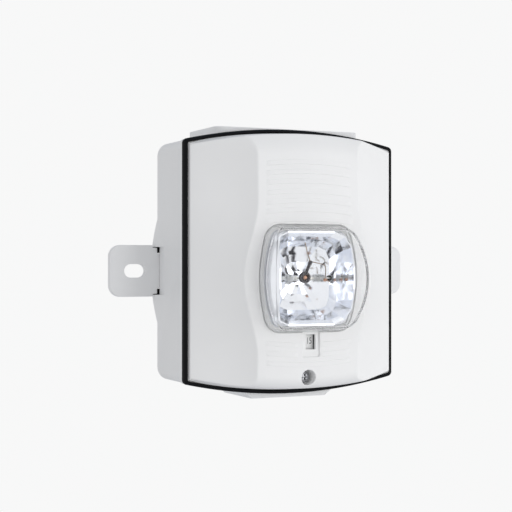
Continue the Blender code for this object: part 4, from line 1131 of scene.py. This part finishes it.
def area_light(name, azimuth, elevation, power):
    """A soft box aimed at the object; azimuth 0 is straight in front and 90 is to the right."""
    data = bpy.data.lights.new(name, "AREA")
    data.shape = "SQUARE"
    data.size = LIGHT_SIZE
    data.energy = power
    lamp = add_object(name, data)
    a, e = math.radians(azimuth), math.radians(elevation)
    away = Vector((math.sin(a) * math.cos(e), -math.cos(a) * math.cos(e), math.sin(e)))
    lamp.location = away * LIGHT_DISTANCE + Vector(LIGHT_AIM)
    lamp.rotation_euler = away.to_track_quat("Z", "Y").to_euler()


def make_stage():
    pale = bpy.data.materials.new("stage_pale")
    pale.use_nodes = True
    tree = pale.node_tree
    tree.nodes.clear()
    glow = add_node(tree, "Emission", "Emission", {"Color": (*PALE, 1.0), "Strength": 1.0})
    fill(tree, tree.nodes.new("ShaderNodeOutputMaterial"), {"Surface": glow})
    bm = bmesh.new()
    bmesh.ops.create_uvsphere(bm, u_segments=64, v_segments=32, radius=DOME_R)
    dome = finish_mesh("stage_dome", bm)
    bm = bmesh.new()
    bmesh.ops.create_circle(bm, cap_ends=True, segments=96, radius=FLOOR_R,
                            matrix=Matrix.Translation((0, 0, FLOOR_Z)))
    floor = finish_mesh("stage_floor", bm)
    for piece in (dome, floor):
        piece.data.materials.append(pale)
        piece.visible_diffuse = False
        piece.visible_glossy = False
        piece.visible_shadow = False


ROOM = (0.725, 0.728, 0.735, 1.0)
UNDERFOOT = (0.2, 0.24, 0.32, 1.0)
OVERHEAD = (0.26, 0.31, 0.4, 1.0)
ROOM_BANDS = ((0.13, UNDERFOOT), (0.28, ROOM), (0.69, ROOM), (0.8, OVERHEAD))  # share of the height, colour
DIFFUSE_SHARE = 0.75  # how far diffuse light sees the plain room in place of the bands
LIGHT_DISTANCE = 1.7  # metres, as are the next two
LIGHT_SIZE = 1.2
LIGHT_AIM = (0.0, -0.03, 0.0)
LIGHTS = (("key", 35, 0, 8.0), ("side", 80, 0, 1.9), ("top", 10, 75, 1.2))  # azimuth, elevation, watts


def room_bands(tree):
    """The room's colour by height: pale all round, slate overhead and underfoot."""
    rise = add_node(tree, "SeparateXYZ", "Z", {"Vector": add_node(tree, "TexCoord", "Generated")})
    height = add_node(tree, "MapRange", "Result", {"Value": rise, "From Min": -1.0})
    room = tree.nodes.new("ShaderNodeValToRGB")
    stops = room.color_ramp.elements
    for stop, (position, color) in zip(stops, ROOM_BANDS):
        stop.position, stop.color = position, color
    for position, color in ROOM_BANDS[2:]:
        stops.new(position).color = color
    tree.links.new(height, room.inputs["Fac"])
    return room.outputs["Color"]


def make_light():
    """A soft key from the right, a weak side and top light, and the room with its bands."""
    world = bpy.data.worlds.new("studio")
    bpy.context.scene.world = world
    world.use_nodes = True
    tree = world.node_tree
    share = tree.nodes.new("ShaderNodeMath")
    share.operation = "MULTIPLY"
    fill(tree, share, {0: add_node(tree, "LightPath", "Is Diffuse Ray"), 1: DIFFUSE_SHARE})
    soften = tree.nodes.new("ShaderNodeMix")
    soften.data_type = "RGBA"
    fill(tree, soften, {0: share.outputs["Value"], 6: room_bands(tree), 7: ROOM})
    fill(tree, tree.nodes["Background"], {"Color": soften.outputs[2], "Strength": 1.0})
    for light in LIGHTS:
        area_light(*light)
    bpy.context.scene.view_settings.view_transform = "Standard"


# ---- the assembly ---------------------------------------------------------------------------


def dress_lamp():
    """Everything that is seen through the lens, and the lens itself."""
    dress(make_lens(), "head", "lens_clear", "lens")
    dress(make_bowl(), "head", "reflector_bright", "reflector")
    dress(make_skirt(), "head", "reflector_bright", "reflector")
    glass, sockets, leads = make_tube()
    dress(glass, "head", "tube_glass", "flash_tube")
    dress(leads, "head", "wire_tinned", "flash_tube")
    for socket in sockets:
        dress(socket, "head", "tube_glass", "flash_tube", finish="socket_milky")
    band, rivet, arm, tip = make_clip()
    dress(band, "head", "clip_dark", "tube_clip")
    dress(arm, "head", "clip_dark", "tube_clip")
    dress(rivet, "head", "clip_dark", "tube_clip", finish="rivet_brown")
    lead, loop, bead = make_trigger_wires(tip)
    dress(lead, "head", "wire_tinned", "trigger_wire", finish="wire_dull")
    dress(loop, "head", "wire_tinned", "trigger_wire", finish="wire_dull")
    dress(bead, "head", "winding_copper", "trigger_wire", finish="rivet_brown")


def dress_slide():
    """The slide behind the window, with its tabs and figures."""
    base, tabs = make_slide()
    dress(base, "candela_slide", "label_white", "candela_slide", finish="slide_grey")
    for tab in tabs:
        dress(tab, "candela_slide", "label_white", "candela_slide")
    for k, text in enumerate(FIGURES):
        x, width = FIGURE_X + k * FIGURE_PITCH, FIGURE_SIZE[0] * len(text) / 2
        figure = make_figure(f"figure_{text}", text, min(x, SLIDE_HIGH.x - width / 2 - 0.2), width)
        dress(figure, "candela_slide", "label_white", "candela_slide", finish="figure_grey")


def main():
    dress_cad_nodes()
    dress(make_front(), "head", "housing_white", "front_housing")
    dress(make_gasket(), "box", "gasket_black", "perimeter_gasket")
    dress(make_box(), "box", "box_white", "back_box")
    for name, side in (("left", -1), ("right", 1)):
        node = f"mounting_flange_{name}"
        dress(make_flange(f"flange_{name}", side), node, "box_white", node)
    dress_lamp()
    dress_slide()
    dress(make_screw(), "captive_screw", "screw_steel", "captive_screw")
    # The groove pieces are painted shade: black filler where the box shows only a shadowed gap.
    for shade_fill in make_groove_shade_fills():
        dress(shade_fill, "box", "gasket_black")
    make_camera()
    make_light()
    make_stage()


main()
